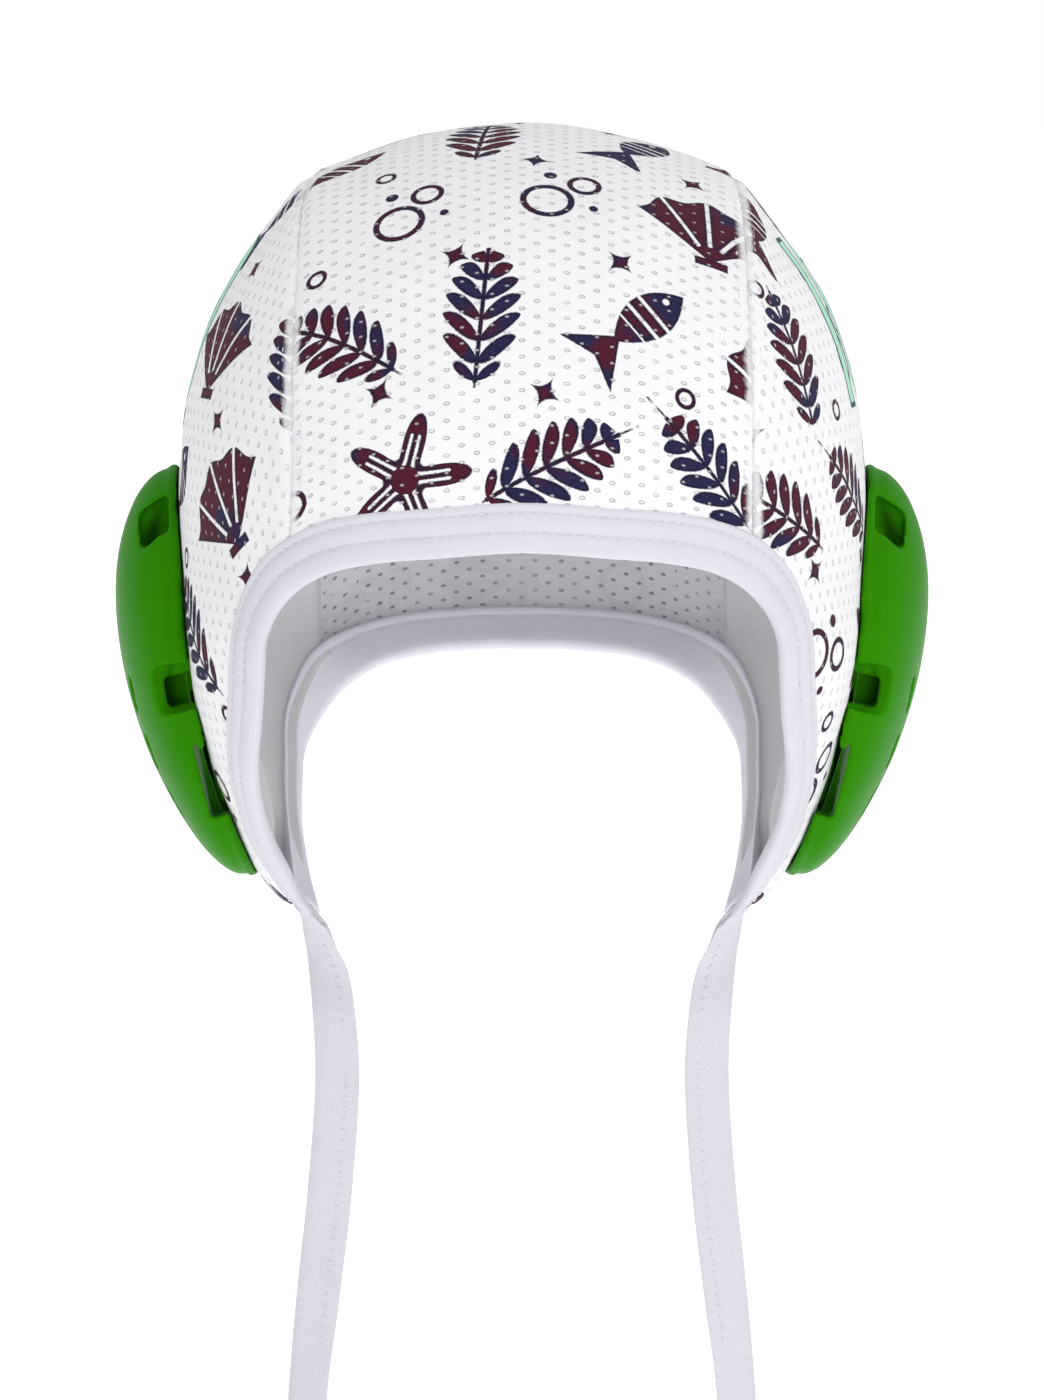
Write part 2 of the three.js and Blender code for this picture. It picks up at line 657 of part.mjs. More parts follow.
addPiece("center_panel", centerPanel(), clothMaterial);
addPair("side_panel", sheet(sideGrid(SIDE_BANDS), 0, CLOTH, true), clothMaterial);
addPair("side_lining", sheet(sideGrid(LINING_BANDS), -PIECE_GAP - LINING, -PIECE_GAP, true), liningMaterial);
addPiece("face_binding", binding(faceRim, FACE_STATIONS), bindingMaterial);
addPiece("neck_binding", binding(neckRim, NECK_STATIONS), bindingMaterial);
addPair("tie", tie(), tieMaterial);
addPair("ear_guard", earGuard(), guardMaterial);

export default cap;
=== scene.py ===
"""Looks of a water polo cap, made around its packed CAD frame and run as a script.

All sizes are in metres. The wearer looks along -Y, +X is on the right of someone who faces the cap, and the
origin is the inner top of the crown. The head form, the rims and the ties' route repeat the CAD's own values.
"""

import math

import bmesh
import bpy
import numpy as np
from mathutils import Matrix, Vector
from mathutils.bvhtree import BVHTree


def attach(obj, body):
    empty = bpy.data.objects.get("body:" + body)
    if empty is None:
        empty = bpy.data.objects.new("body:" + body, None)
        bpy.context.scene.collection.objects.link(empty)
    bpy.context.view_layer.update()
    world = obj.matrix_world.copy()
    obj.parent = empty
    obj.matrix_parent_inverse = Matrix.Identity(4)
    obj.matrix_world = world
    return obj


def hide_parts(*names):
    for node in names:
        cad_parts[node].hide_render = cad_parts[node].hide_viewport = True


bl_info = {
    "name": "Water polo cap",
    "version": (1, 0, 0),
    "blender": (4, 5, 0),
    "location": "3D View > Sidebar > Cap",
    "description": "Cloth, bindings, ties and ear guards of a water polo cap, and its studio",
    "category": "Add Mesh",
}

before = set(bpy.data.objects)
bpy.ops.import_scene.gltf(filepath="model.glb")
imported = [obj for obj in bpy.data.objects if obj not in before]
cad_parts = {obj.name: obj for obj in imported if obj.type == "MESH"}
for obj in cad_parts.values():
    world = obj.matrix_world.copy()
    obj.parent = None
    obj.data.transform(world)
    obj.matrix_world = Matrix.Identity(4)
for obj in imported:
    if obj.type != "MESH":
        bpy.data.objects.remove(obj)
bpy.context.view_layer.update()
BODY = "root"
MM = 0.001

# Head form, which the inner face of the cloth follows
HALF_WIDTH = 0.083
FRONT_REACH = 0.097
BACK_REACH = 0.103
CROWN_HEIGHT = 0.0905
CROWN_FULLNESS = 2.24
BROW_SQUARENESS = 2.3
FLAP_DEPTH = 0.107
SECTIONS = {
    "depth": [0, 0.18, 0.345, 0.485, 0.625, 0.785, 0.935, 1],
    "width": [1, 0.99, 0.968, 0.938, 0.896, 0.82, 0.69, 0.56],
    "front": [1, 0.96, 0.825, 0.74, 0.65, 0.505, 0.31, 0.19],
    "back": [1, 0.98, 0.91, 0.755, 0.595, 0.42, 0.194, 0.1],
    "front_square": [2.3, 2.6, 3.4, 3.4, 3.1, 2.7, 2.2, 2.2],
    "back_square": [2.3, 2.5, 3, 3.1, 3, 2.6, 2.2, 2.2],
}

# Seams between the centre panel and the side panels, and the low ridge that they raise
SEAM_FRONT = 0.645
SEAM_TOP = 0.6
RIDGE_HEIGHT = 0.0024
RIDGE_SPREAD = 0.009
SEAM_LOWEST = -0.14

# Relief beside a seam: a groove on it, a fold next to it and puckers that run away from it
SEAM_GROOVE_DEPTH = 0.00042
SEAM_GROOVE_REACH = 0.0007
FOLD_HEIGHT = 0.00018
FOLD_PLACE = 0.0025
FOLD_REACH = 0.0016
PUCKER_HEIGHT = 0.00016
PUCKER_PITCH = 0.0047
PUCKER_REACH = 0.004
PIVOT_DROP = 0.12
PIVOT_Z = -CROWN_HEIGHT - PIVOT_DROP * FLAP_DEPTH

# Edges of the cloth round the face and the neck, from the middle to a flap tip: azimuth and flare in degrees,
# drop as a share of the flap's depth
FACE_RIM = {
    "azimuth": [0, 12, 22, 30, 37, 41.5, 44.6, 46.6, 49.2, 53.4, 58.4, 63.6, 68.4, 72.6, 76.5],
    "drop": [
        -0.056, -0.043, -0.027, 0.003, 0.058, 0.125, 0.21, 0.3, 0.39, 0.485, 0.585, 0.687, 0.785, 0.855, 0.91,
    ],
    "flare": [0, 0, 0, 0, 0, 4, 10, 14, 16, 17, 16, 14, 14, 18, 20],
}
NECK_RIM = {
    "azimuth": [180, 170, 160, 151.5, 143.5, 136, 130.5, 125.5, 118, 109.5, 101],
    "drop": [0.342, 0.346, 0.361, 0.389, 0.434, 0.508, 0.573, 0.645, 0.736, 0.82, 0.885],
    "flare": [0, 0, 2, 6, 18, 32, 38, 40, 40, 38, 28],
}

# Cloth and tape
CLOTH = 0.0012
LINING = 0.001
LINING_DROP = 0.0003
EDGE_TUCK = 0.0022
SEAM_GAP = 0.00008
TAPE_WIDTH = 0.011
CENTER_SOFTNESS = 0.0004
SIDE_SOFTNESS = 0.00035
LINING_SOFTNESS = 0.0002
LINING_REST = 0.0003

# The lining's drape over each guard's flange: its depth, the lining's hole and the drape's edge as shares of
# the hole under the guard, the edge's softness, and where it fades on the way out to the outline
FLANGE_DRAPE = 0.0032
LINING_HOLE = 0.9
FLANGE_EDGE = 1.07
FLANGE_SOFTNESS = 0.02
DRAPE_FADE = 0.48
DRAPE_FADE_SPAN = 0.34

# Bindings and ties: how far from a flap tip they narrow and flatten and how much, and their unevenness
TAPER = 0.024
TAPER_SHARE = 0.42
NECK_TAPER_SHARE = 0.12
TAPER_FLATTENING = 0.35
TAPE_UNEVENNESS = 0.00013
TIE_UNEVENNESS = 0.0001
TIE_PINCH = TAPER_SHARE + 0.05
TIE_PINCH_LENGTH = 0.0055
TIE_SWELL = 0.2
TIE_SWELL_LENGTH = 0.006
TIE_OVERLAP = 0.002
NECK_LEAD = np.array([0.001, 0.0035, 0.002])

# Rows of stitches: places across the tape and heights over it
INNER_ROW_ACROSS = 0.0015
INNER_ROW_HEIGHT = -0.0014
TIE_ROW_ACROSS = 0.00215
TIE_ROW_HEIGHT = 0.0008
TIE_ROW_BACK = 0.00182
TIE_ROW_START = 14
SEAM_ROW_ASIDE = 0.0024

# Ear guards
GUARD_LENGTH = 0.1
GUARD_BREADTH = 0.076
GUARD_STAND = 0.0183
GUARD_WALL = 0.002
WALL_REST = 0.0006
GUARD_TILT = math.radians(4)
GUARD_FULLNESS = 2.1
GUARD_LEAN = 0.16
EAR_Y = 0.002
EAR_Z = -CROWN_HEIGHT - 0.042
LIP_HEIGHT = 0.002
LIP_INSET = 0.001
GUARD_GAP = 0.0005
SEAT = CLOTH + GUARD_GAP
WAIST_INSET = 0.006
FLANGE_INSET = 0.0042
FLANGE_THICKNESS = 0.0016
HOLE_GAP = 0.0008
HOLE_LENGTH = GUARD_LENGTH / 2 - WAIST_INSET + HOLE_GAP
HOLE_BREADTH = HOLE_LENGTH * GUARD_BREADTH / GUARD_LENGTH

# Ties: the middle line below the flap tip, as shares of the tie's length, the half width and the back reach,
# and the turn of the tape's width in degrees
TIE_LENGTH = 0.138
TIE_LEAD = 0.004
TIE_ROUTE = {
    "fall": [0.085, 0.135, 0.2, 0.32, 0.54, 0.68, 0.84, 1],
    "out": [0.592, 0.571, 0.557, 0.548, 0.573, 0.599, 0.627, 0.648],
    "back": [-0.135, -0.132, -0.14, -0.135, -0.14, -0.15, -0.16, -0.17],
    "turn": [44, 26, 14, 3, 0, 6, 24, 30],
}

# Plain number on each side, in millimetres: the bar of its 1 and the ring of its 0
NUMBER_WIDTH = 42
LEFT_LAG = 8
BAR_MIDDLE = 4
BAR_HALF_WIDTH = 4
BAR_CORNER = 0.8
RING_MIDDLE = 27
RING_HALF_WIDTH = 15
RING_CORNER = 12
RING_STROKE = 8.5
RING_HOLE_HALF_WIDTH = 6.5
RING_HOLE_CORNER = 5.5

# Fineness of the searches and the meshes
PROBE = 0.00005
HALVINGS = 30
RIM_SAMPLES = 2400
ROW_SAMPLES = 900
SEAM_SAMPLES = 700
CENTER_COLUMNS = 84
CENTER_ROWS = 230
SEAM_STEPS = 84
NECK_STEPS = 40
HEM_STEPS = 8
FACE_STEPS = 66
SIDE_BANDS = 60
LINING_BANDS = 40
FACE_STATIONS = 420
NECK_STATIONS = 340
TIE_STATIONS = 150
DOME_STEPS = 26
GUARD_STEPS = 112

UV_NAME = "cloth"
SEAM_NAME = "to_seam_mm"
RECESS_NAME = "recess_mm"


def soft_step(t):
    """Soft change from 0 to 1 while t goes from 0 to 1."""
    return 3 * t**2 - 2 * t**3


def smooth_value(table, key, column, place):
    """Smooth values of a table's column at places along its key column."""
    keys = np.array(table[key], float)
    values = np.array(table[column], float)
    rows = np.arange(len(keys))
    before = np.maximum(rows - 1, 0)
    after = np.minimum(rows + 1, len(keys) - 1)
    slopes = (values[after] - values[before]) / (keys[after] - keys[before])
    place = np.asarray(place, float)
    row = np.clip(np.searchsorted(keys, place) - 1, 0, len(keys) - 2)
    span = keys[row + 1] - keys[row]
    t = np.clip((place - keys[row]) / span, 0, 1)
    stay = 2 * t**3 - 3 * t**2 + 1
    bend = (t**3 - 2 * t**2 + t) * slopes[row] + (t**3 - t**2) * slopes[row + 1]
    return stay * values[row] + (1 - stay) * values[row + 1] + span * bend


def fullness(points):
    """Below 1 inside the head form, 1 on it and above 1 outside it."""
    x, y, z = np.moveaxis(points, -1, 0)
    depth = np.maximum(0, (-z - CROWN_HEIGHT) / FLAP_DEPTH)
    rise = np.maximum(0, (z + CROWN_HEIGHT) / CROWN_HEIGHT)
    ahead = y < 0
    front = FRONT_REACH * smooth_value(SECTIONS, "depth", "front", depth)
    back = BACK_REACH * smooth_value(SECTIONS, "depth", "back", depth)
    front_square = smooth_value(SECTIONS, "depth", "front_square", depth)
    back_square = smooth_value(SECTIONS, "depth", "back_square", depth)
    square = np.where(rise > 0, BROW_SQUARENESS, np.where(ahead, front_square, back_square))
    width = HALF_WIDTH * smooth_value(SECTIONS, "depth", "width", depth)
    across = (np.abs(x) / width) ** square + (np.abs(y) / np.where(ahead, front, back)) ** square
    return (across ** (CROWN_FULLNESS / square) + rise**CROWN_FULLNESS) ** (1 / CROWN_FULLNESS)


def unit(vectors):
    return vectors / np.linalg.norm(vectors, axis=-1, keepdims=True)


def slope_at(points):
    steps = []
    for axis in np.eye(3) * PROBE:
        steps.append((fullness(points + axis) - fullness(points - axis)) / (2 * PROBE))
    return np.stack(steps, axis=-1)


def outward(points):
    return unit(slope_at(points))


def leaving(origins, directions):
    """Where straight ways out of the head form leave it."""
    inside = np.zeros(origins.shape[:-1])
    outside = np.full(origins.shape[:-1], 2 * BACK_REACH)
    for _ in range(HALVINGS):
        middle = (inside + outside) / 2
        within = fullness(origins + directions * middle[..., None]) < 1
        inside = np.where(within, middle, inside)
        outside = np.where(within, outside, middle)
    return origins + directions * inside[..., None]


def seam_spread(angle):
    """Half spread of the seams at an angle that runs from the front over the crown to the back."""
    return HALF_WIDTH * (SEAM_FRONT + (SEAM_TOP - SEAM_FRONT) * np.sin(angle) ** 2)


def lifted(points, height):
    """Points off the head form by a height, with the ridge that the seams raise in the cloth."""
    aside = (np.abs(points[..., 0]) - HALF_WIDTH * SEAM_TOP) / RIDGE_SPREAD
    t = np.clip((points[..., 2] + CROWN_HEIGHT) / CROWN_HEIGHT, 0, 1)
    ridge = RIDGE_HEIGHT * np.exp(-(aside**2)) * soft_step(t)
    return points + outward(points) * (height + ridge)[..., None]


def cloth_point(share, angle, aside=0.0):
    """Points of the cloth at a share of the seam spread and an angle over the crown."""
    origins = np.stack([share * seam_spread(angle) + aside, 0 * angle, 0 * angle + PIVOT_Z], axis=-1)
    directions = np.stack([0 * angle, -np.cos(angle), np.sin(angle)], axis=-1)
    return leaving(origins, directions)


def angle_of(points):
    angle = np.arctan2(points[..., 2] - PIVOT_Z, -points[..., 1])
    return np.where(angle < -math.pi / 2, angle + 2 * math.pi, angle)


def side_point(y, z):
    """Points of the head form's +X side at places seen from the side."""
    origins = np.stack([0 * y, y, z], axis=-1)
    return leaving(origins, np.broadcast_to(np.array([1.0, 0, 0]), origins.shape))


def smooth_route(points, count):
    """Points at even steps of a smooth curve through the given ones, and the curve's measure at each."""
    points = np.asarray(points, float)
    measure = np.linspace(0, len(points) - 1, count)
    index = np.minimum(measure.astype(int), len(points) - 2)
    t = (measure - index)[:, None]
    held = np.vstack([2 * points[0] - points[1], points, 2 * points[-1] - points[-2]])
    p0, p1, p2, p3 = (held[index + step] for step in range(4))
    gaps = [np.linalg.norm(b - a, axis=1, keepdims=True) ** 0.5 for a, b in ((p0, p1), (p1, p2), (p2, p3))]
    d1 = np.where(gaps[1] < 1e-4, 1, gaps[1])
    d0 = np.where(gaps[0] < 1e-4, d1, gaps[0])
    d2 = np.where(gaps[2] < 1e-4, d1, gaps[2])
    leave = d1 * ((p1 - p0) / d0 - (p2 - p0) / (d0 + d1) + (p2 - p1) / d1)
    arrive = d1 * ((p2 - p1) / d1 - (p3 - p1) / (d1 + d2) + (p3 - p2) / d2)
    cubic = 2 * p1 - 2 * p2 + leave + arrive
    square = -3 * p1 + 3 * p2 - 2 * leave - arrive
    return p1 + leave * t + square * t**2 + cubic * t**3, measure


def rim_curve(table, way):
    """Smooth edge of the cloth from one flap tip round the middle to the other."""
    turn = np.radians(table["azimuth"])
    depth = -CROWN_HEIGHT - np.array(table["drop"]) * FLAP_DEPTH
    origins = np.stack([0 * turn, 0 * turn, depth], axis=-1)
    directions = np.stack([-way * np.sin(turn), -np.cos(turn), 0 * turn], axis=-1)
    half = leaving(origins, directions)
    other = half[:0:-1] * np.array([-1, 1, 1])
    points, measure = smooth_route(np.vstack([other, half]), RIM_SAMPLES)
    steps = np.linalg.norm(np.diff(points, axis=0), axis=1)
    length = np.concatenate([[0], np.cumsum(steps)])
    row = np.abs(measure - (len(half) - 1))
    rows = {"row": list(range(len(half))), "flare": table["flare"]}
    return {
        "place": length / length[-1],
        "points": points,
        "along": unit(np.gradient(points, axis=0)),
        "flare": np.radians(smooth_value(rows, "row", "flare", row)),
        "length": length[-1],
    }


def at_place(rim, column, place):
    values = rim[column]
    if values.ndim == 1:
        return np.interp(place, rim["place"], values)
    return np.stack([np.interp(place, rim["place"], values[:, axis]) for axis in range(3)], axis=-1)


def across_rim(rim, place, distance, height):
    """Points at distances across a rim and heights, walked along the head form and raised by the flare."""
    point = at_place(rim, "points", place)
    along = unit(at_place(rim, "along", place))
    flare = at_place(rim, "flare", place)
    stride = distance * np.cos(flare) / 4
    for _ in range(4):
        point = point + unit(np.cross(along, outward(point))) * stride[..., None]
        slope = slope_at(point)
        off = (1 - fullness(point)) / np.sum(slope**2, axis=-1)
        point = point + slope * off[..., None]
    return lifted(point, height + distance * np.sin(flare))


FACE = rim_curve(FACE_RIM, -1)
NECK = rim_curve(NECK_RIM, 1)


def crossing(rim, share, low, high, aside=0.0):
    """Places along a rim, between two others, where it crosses lines of the cloth on the +X side."""
    places = np.linspace(low, high, RIM_SAMPLES)
    points = at_place(rim, "points", places)
    shares = (np.abs(points[:, 0]) - aside) / seam_spread(angle_of(points))
    return np.interp(share, shares, places)


def ripple(a, b, seed):
    """Soft uneven value between about -1 and 1 over two lengths in metres, the same in every run."""
    random = np.random.default_rng(seed)
    total = 0
    for _ in range(7):
        wave = 2 * math.pi / random.uniform(0.018, 0.06)
        turn = random.uniform(0, 2 * math.pi)
        phase = random.uniform(0, 2 * math.pi)
        total = total + np.sin(wave * (a * math.cos(turn) + b * math.sin(turn)) + phase)
    return total / 4


def flat_grid(columns, rows):
    """Flat grid whose points run from 0 to 1 both ways, and the two shares of each of its points."""
    made = bmesh.new()
    bmesh.ops.create_grid(made, x_segments=columns, y_segments=rows, size=0.5)
    bmesh.ops.translate(made, verts=made.verts, vec=(0.5, 0.5, 0))
    shares = np.array([vertex.co[:2] for vertex in made.verts])
    order = np.lexsort((shares[:, 0].round(6), shares[:, 1].round(6)))
    return made, order, shares[order].reshape(rows + 1, columns + 1, 2)


def lay_grid(made, order, points, lengths, to_seam=None):
    """Moves a flat grid's points to their places and gives them their lengths over the cloth as a UV map."""
    layer = made.loops.layers.uv.new(UV_NAME)
    if to_seam is not None:
        nearness = made.verts.layers.float.new(SEAM_NAME)
        made.verts.ensure_lookup_table()
        for rank, value in enumerate(np.ravel(to_seam) / MM):
            made.verts[order[rank]][nearness] = value
    made.verts.ensure_lookup_table()
    places = points.reshape(-1, 3)
    values = lengths.reshape(-1, 2)
    found = {}
    for rank, index in enumerate(order):
        made.verts[index].co = places[rank]
        found[made.verts[index]] = values[rank]
    for face in made.faces:
        face.smooth = True
        for loop in face.loops:
            loop[layer].uv = found[loop.vert]


def face_outwards(made):
    """Turns an open sheet's faces away from the head."""
    made.normal_update()
    points = np.array([vertex.co for vertex in made.verts])
    normals = np.array([vertex.normal for vertex in made.verts])
    if np.sum(normals * outward(points)) < 0:
        bmesh.ops.reverse_faces(made, faces=made.faces)


def new_piece(name, made, materials, nodes=()):
    """Object of a finished mesh, which rides on the cap's body and stands for its CAD nodes."""
    mesh = bpy.data.meshes.new(name)
    made.to_mesh(mesh)
    made.free()
    return new_object(name, mesh, materials, nodes)


def new_object(name, mesh, materials, nodes=()):
    piece = bpy.data.objects.new(name, mesh)
    bpy.context.scene.collection.objects.link(piece)
    for material in materials:
        mesh.materials.append(material)
    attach(piece, BODY)
    if nodes:
        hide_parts(*nodes)
    return piece


def thicken(piece, thickness, offset, inner_slot=0):
    wall = piece.modifiers.new("Wall", "SOLIDIFY")
    wall.thickness = thickness
    wall.offset = offset
    wall.material_offset = inner_slot
    wall.use_even_offset = True


class Field:
    """A number that varies over a surface, held by an output of one of its material's nodes."""

    def __init__(self, surface, socket):
        self.surface = surface
        self.socket = socket

    def __add__(self, other):
        return self.surface.math("ADD", self, other)

    __radd__ = __add__

    def __sub__(self, other):
        return self.surface.math("SUBTRACT", self, other)

    def __rsub__(self, other):
        return self.surface.math("SUBTRACT", other, self)

    def __mul__(self, other):
        return self.surface.math("MULTIPLY", self, other)

    __rmul__ = __mul__

    def __truediv__(self, other):
        return self.surface.math("DIVIDE", self, other)

    def __abs__(self):
        return self.surface.math("ABSOLUTE", self)

    def __pow__(self, other):
        return self.surface.math("POWER", self, other)

    def least(self, other):
        return self.surface.math("MINIMUM", self, other)

    def most(self, other):
        return self.surface.math("MAXIMUM", self, other)

    def floor(self):
        return self.surface.math("FLOOR", self)

    def part(self):
        return self.surface.math("FRACT", self)

    def sine(self):
        return self.surface.math("SINE", self)

    def cosine(self):
        return self.surface.math("COSINE", self)

    def root(self):
        return self.surface.math("SQRT", self)

    def above(self, edge):
        return self.surface.math("GREATER_THAN", self, edge)

    def below(self, edge, soft):
        """1 where the number is under an edge and 0 where it is over it, with a soft step between."""
        made = self.surface.node("ShaderNodeMapRange", interpolation_type="SMOOTHSTEP")
        self.surface.join(self, made.inputs["Value"])
        made.inputs["From Min"].default_value = edge - soft
        made.inputs["From Max"].default_value = edge + soft
        made.inputs["To Min"].default_value = 1
        made.inputs["To Max"].default_value = 0
        return Field(self.surface, made.outputs["Result"])


class Surface:
    """A material's nodes, with short ways to add them and join them."""

    def __init__(self, name):
        self.material = bpy.data.materials.new(name)
        self.material.use_nodes = True
        self.tree = self.material.node_tree
        self.shader = self.tree.nodes["Principled BSDF"]

    def node(self, kind, **settings):
        made = self.tree.nodes.new(kind)
        for key, value in settings.items():
            setattr(made, key, value)
        return made

    def join(self, value, socket):
        if isinstance(value, Field):
            value = value.socket
        if isinstance(value, bpy.types.NodeSocket):
            self.tree.links.new(value, socket)
        else:
            socket.default_value = value

    def math(self, operation, *values):
        made = self.node("ShaderNodeMath", operation=operation)
        for value, socket in zip(values, made.inputs):
            self.join(value, socket)
        return Field(self, made.outputs[0])

    def field(self, socket):
        return Field(self, socket)

    def mix(self, share, first, second):
        """Colour between two others."""
        made = self.node("ShaderNodeMix", data_type="RGBA")
        self.join(share, made.inputs[0])
        self.join(first, made.inputs[6])
        self.join(second, made.inputs[7])
        return made.outputs[2]

    def choose(self, share, first, second):
        return first + (second - first) * share

    def lengths(self):
        """The cloth's own two lengths in millimetres, from the UV map."""
        chart = self.node("ShaderNodeUVMap", uv_map=UV_NAME)
        parts = self.node("ShaderNodeSeparateXYZ")
        self.join(chart.outputs["UV"], parts.inputs[0])
        return self.field(parts.outputs["X"]) / MM, self.field(parts.outputs["Y"]) / MM

    def reading(self, name):
        """A number that the piece's points carry."""
        return self.field(self.node("ShaderNodeAttribute", attribute_name=name).outputs["Fac"])

    def point(self, x, y):
        made = self.node("ShaderNodeCombineXYZ")
        self.join(x, made.inputs["X"])
        self.join(y, made.inputs["Y"])
        return made.outputs[0]

    def noise(self, vector, scale, detail=2.0, roughness=0.5):
        made = self.node("ShaderNodeTexNoise")
        self.join(vector, made.inputs["Vector"])
        made.inputs["Scale"].default_value = scale
        made.inputs["Detail"].default_value = detail
        made.inputs["Roughness"].default_value = roughness
        return self.field(made.outputs["Fac"])

    def place(self):
        """Object coordinates."""
        return self.node("ShaderNodeTexCoord").outputs["Object"]

    def bump(self, height_mm, strength=1.0):
        """Gives the shader a relief of a height in millimetres."""
        made = self.node("ShaderNodeBump")
        made.inputs["Strength"].default_value = strength
        made.inputs["Distance"].default_value = MM
        self.join(height_mm, made.inputs["Height"])
        self.join(made.outputs["Normal"], self.shader.inputs["Normal"])

    def finish(self, colour, roughness, **sockets):
        self.join(colour, self.shader.inputs["Base Color"])
        self.join(roughness, self.shader.inputs["Roughness"])
        for name, value in sockets.items():
            self.join(value, self.shader.inputs[name.replace("_", " ")])
        return self.material


def linear(red, green, blue):
    """Linear colour of a screen colour from 0 to 255."""
    parts = []
    for value in (red, green, blue):
        share = value / 255
        parts.append(share / 12.92 if share <= 0.04045 else ((share + 0.055) / 1.055) ** 2.4)
    return (*parts, 1.0)


def distance(x, y):
    return (x * x + y * y).root()


def starfish(surface, x, y):
    turn = surface.math("ARCTAN2", y, x)
    arm = (turn * 5).cosine() * 0.5 + 0.5
    outline = arm**1.7 * 10.5 + 5.2
    reach = distance(x, y)
    body = (reach - outline) * 0.62
    vein = reach * abs((turn * 2.5).sine()) * 0.4
    gap = 0.32 - abs(vein - 0.9)
    return body.most(gap - reach.below(3, 0.5) * 4 + reach.below(11, 0.5) - 1)


def scallop(surface, x, y):
    rise = y + 11
    reach = distance(x, rise)
    turn = surface.math("ARCTAN2", x, rise)
    outer = reach - 22.5 - (turn * 12).cosine() * 0.9
    sides = (abs(turn) - 0.92) * reach
    rib = 0.5 - abs((turn * 6).sine()) * reach / 6
    hinge = (abs(rise + 0.2) - 1.3).most(abs(x) - 4.2)
    return outer.most(sides).most(rib - reach.below(5, 0.6) * 4).least(hinge)


def weed(surface, x, y):
    width = ((1 - (y / 17) * (y / 17)).most(0.001)).root() * 9 + 0.01
    reach = (abs(x) / width).least(1)
    step = ((y + 46 - abs(x) * 0.9 + reach * reach * 1.5) / 5.2).part() - 0.5
    leaf = abs(step) * 4 - (reach * math.pi).sine().most(0) ** 0.6 * 1.75
    stem = (abs(x) - 0.55).most(abs(y) - 17.5)
    return leaf.most(abs(x) - width).least(stem)


def fish(surface, x, y):
    along = (x - 2) / 11.5
    body = abs(y) - (1 - along * along) * 5.6
    tail = (abs(y) + (x + 7.5) * 0.8).most((x + 15.5) * -1 - abs(y) * 0.35)
    stripe = 0.45 - abs(((x + 20) / 3.6).part() - 0.5) * 3.6
    banded = stripe - (abs(x - 0.5) - 4.2).most(0) * 4
    eye = 0.85 - distance(x - 8.4, y - 0.9)
    return body.most(banded).most(eye).least(tail) * 0.85


def bubbles(surface, x, y):
    large = abs(distance(x + 3.5, y + 2.5) - 5.6) - 0.8
    middle = abs(distance(x - 6, y - 4) - 3.4) - 0.7
    small = distance(x + 1.5, y - 8.5) - 1.6
    dot = distance(x - 7, y + 5.5) - 1.1
    return large.least(middle).least(small).least(dot)


def tiny_mark(surface, x, y, choice):
    spark = (abs(x) + 0.01) ** 0.55 + (abs(y) + 0.01) ** 0.55 - 2.25
    ring = abs(distance(x, y) - 2.1) - 0.55
    return surface.choose(choice.above(0.55), spark, ring)


def cells(surface, across, up, pitch, shift, seed):
    """Point of a bricked layout's own cell, in millimetres, and two numbers that differ from cell to cell."""
    row_place = (up + shift) / pitch
    row = row_place.floor()
    column_place = (across + shift * 1.3) / pitch + (row * 0.5).part()
    column = column_place.floor()
    picked = surface.node("ShaderNodeTexWhiteNoise", noise_dimensions="2D")
    surface.join(surface.point(column + seed, row), picked.inputs["Vector"])
    chosen = surface.node("ShaderNodeSeparateColor")
    surface.join(picked.outputs["Color"], chosen.inputs[0])
    red, green, blue = (surface.field(chosen.outputs[part]) for part in range(3))
    local = surface.point(
        (column_place - column - 0.5) * pitch + (green - 0.5) * 4,
        (row_place - row - 0.5) * pitch + (blue - 0.5) * 4,
    )
    turned = surface.node("ShaderNodeVectorRotate", rotation_type="Z_AXIS")
    surface.join(local, turned.inputs["Vector"])
    surface.join((green - 0.5) * 2.4, turned.inputs["Angle"])
    parts = surface.node("ShaderNodeSeparateXYZ")
    surface.join(turned.outputs[0], parts.inputs[0])
    return surface.field(parts.outputs["X"]), surface.field(parts.outputs["Y"]), red, blue


def print_edge(surface, across, up, settings):
    """Millimetres from a point of the cloth to the print's motifs, and each motif's own number."""
    pitch = settings.motif_pitch / MM
    x, y, pick, tone = cells(surface, across, up, pitch, settings.print_shift / MM, 3)
    edge = starfish(surface, x, y)
    for level, motif in ((0.22, scallop), (0.42, weed), (0.66, fish), (0.86, bubbles)):
        edge = surface.choose(pick.above(level), edge, motif(surface, x, y))
    near_x, near_y, small_pick, _ = cells(
        surface, across, up, pitch, (settings.print_shift / MM) + pitch / 2, 11
    )
    return edge.least(tiny_mark(surface, near_x, near_y, small_pick)), tone


def rounded_box(x, y, half_width, half_height, radius):
    """Distance in millimetres outside a box with round corners."""
    over_x = abs(x) - (half_width - radius)
    over_y = abs(y) - (half_height - radius)
    return distance(over_x.most(0), over_y.most(0)) + over_x.most(over_y).least(0) - radius


def number_edge(across, up, settings, side):
    """Distance in millimetres outside the plain number on a side of the cap."""
    lead = settings.number_lead / MM
    x = across + (lead if side > 0 else NUMBER_WIDTH - lead + LEFT_LAG)
    y = up - settings.number_middle / MM
    half = settings.number_height / MM / 2
    bar = rounded_box(x - BAR_MIDDLE, y, BAR_HALF_WIDTH, half, BAR_CORNER)
    ring = rounded_box(x - RING_MIDDLE, y, RING_HALF_WIDTH, half, RING_CORNER)
    hole = rounded_box(x - RING_MIDDLE, y, RING_HOLE_HALF_WIDTH, half - RING_STROKE, RING_HOLE_CORNER)
    return bar.least(ring.most(hole * -1))


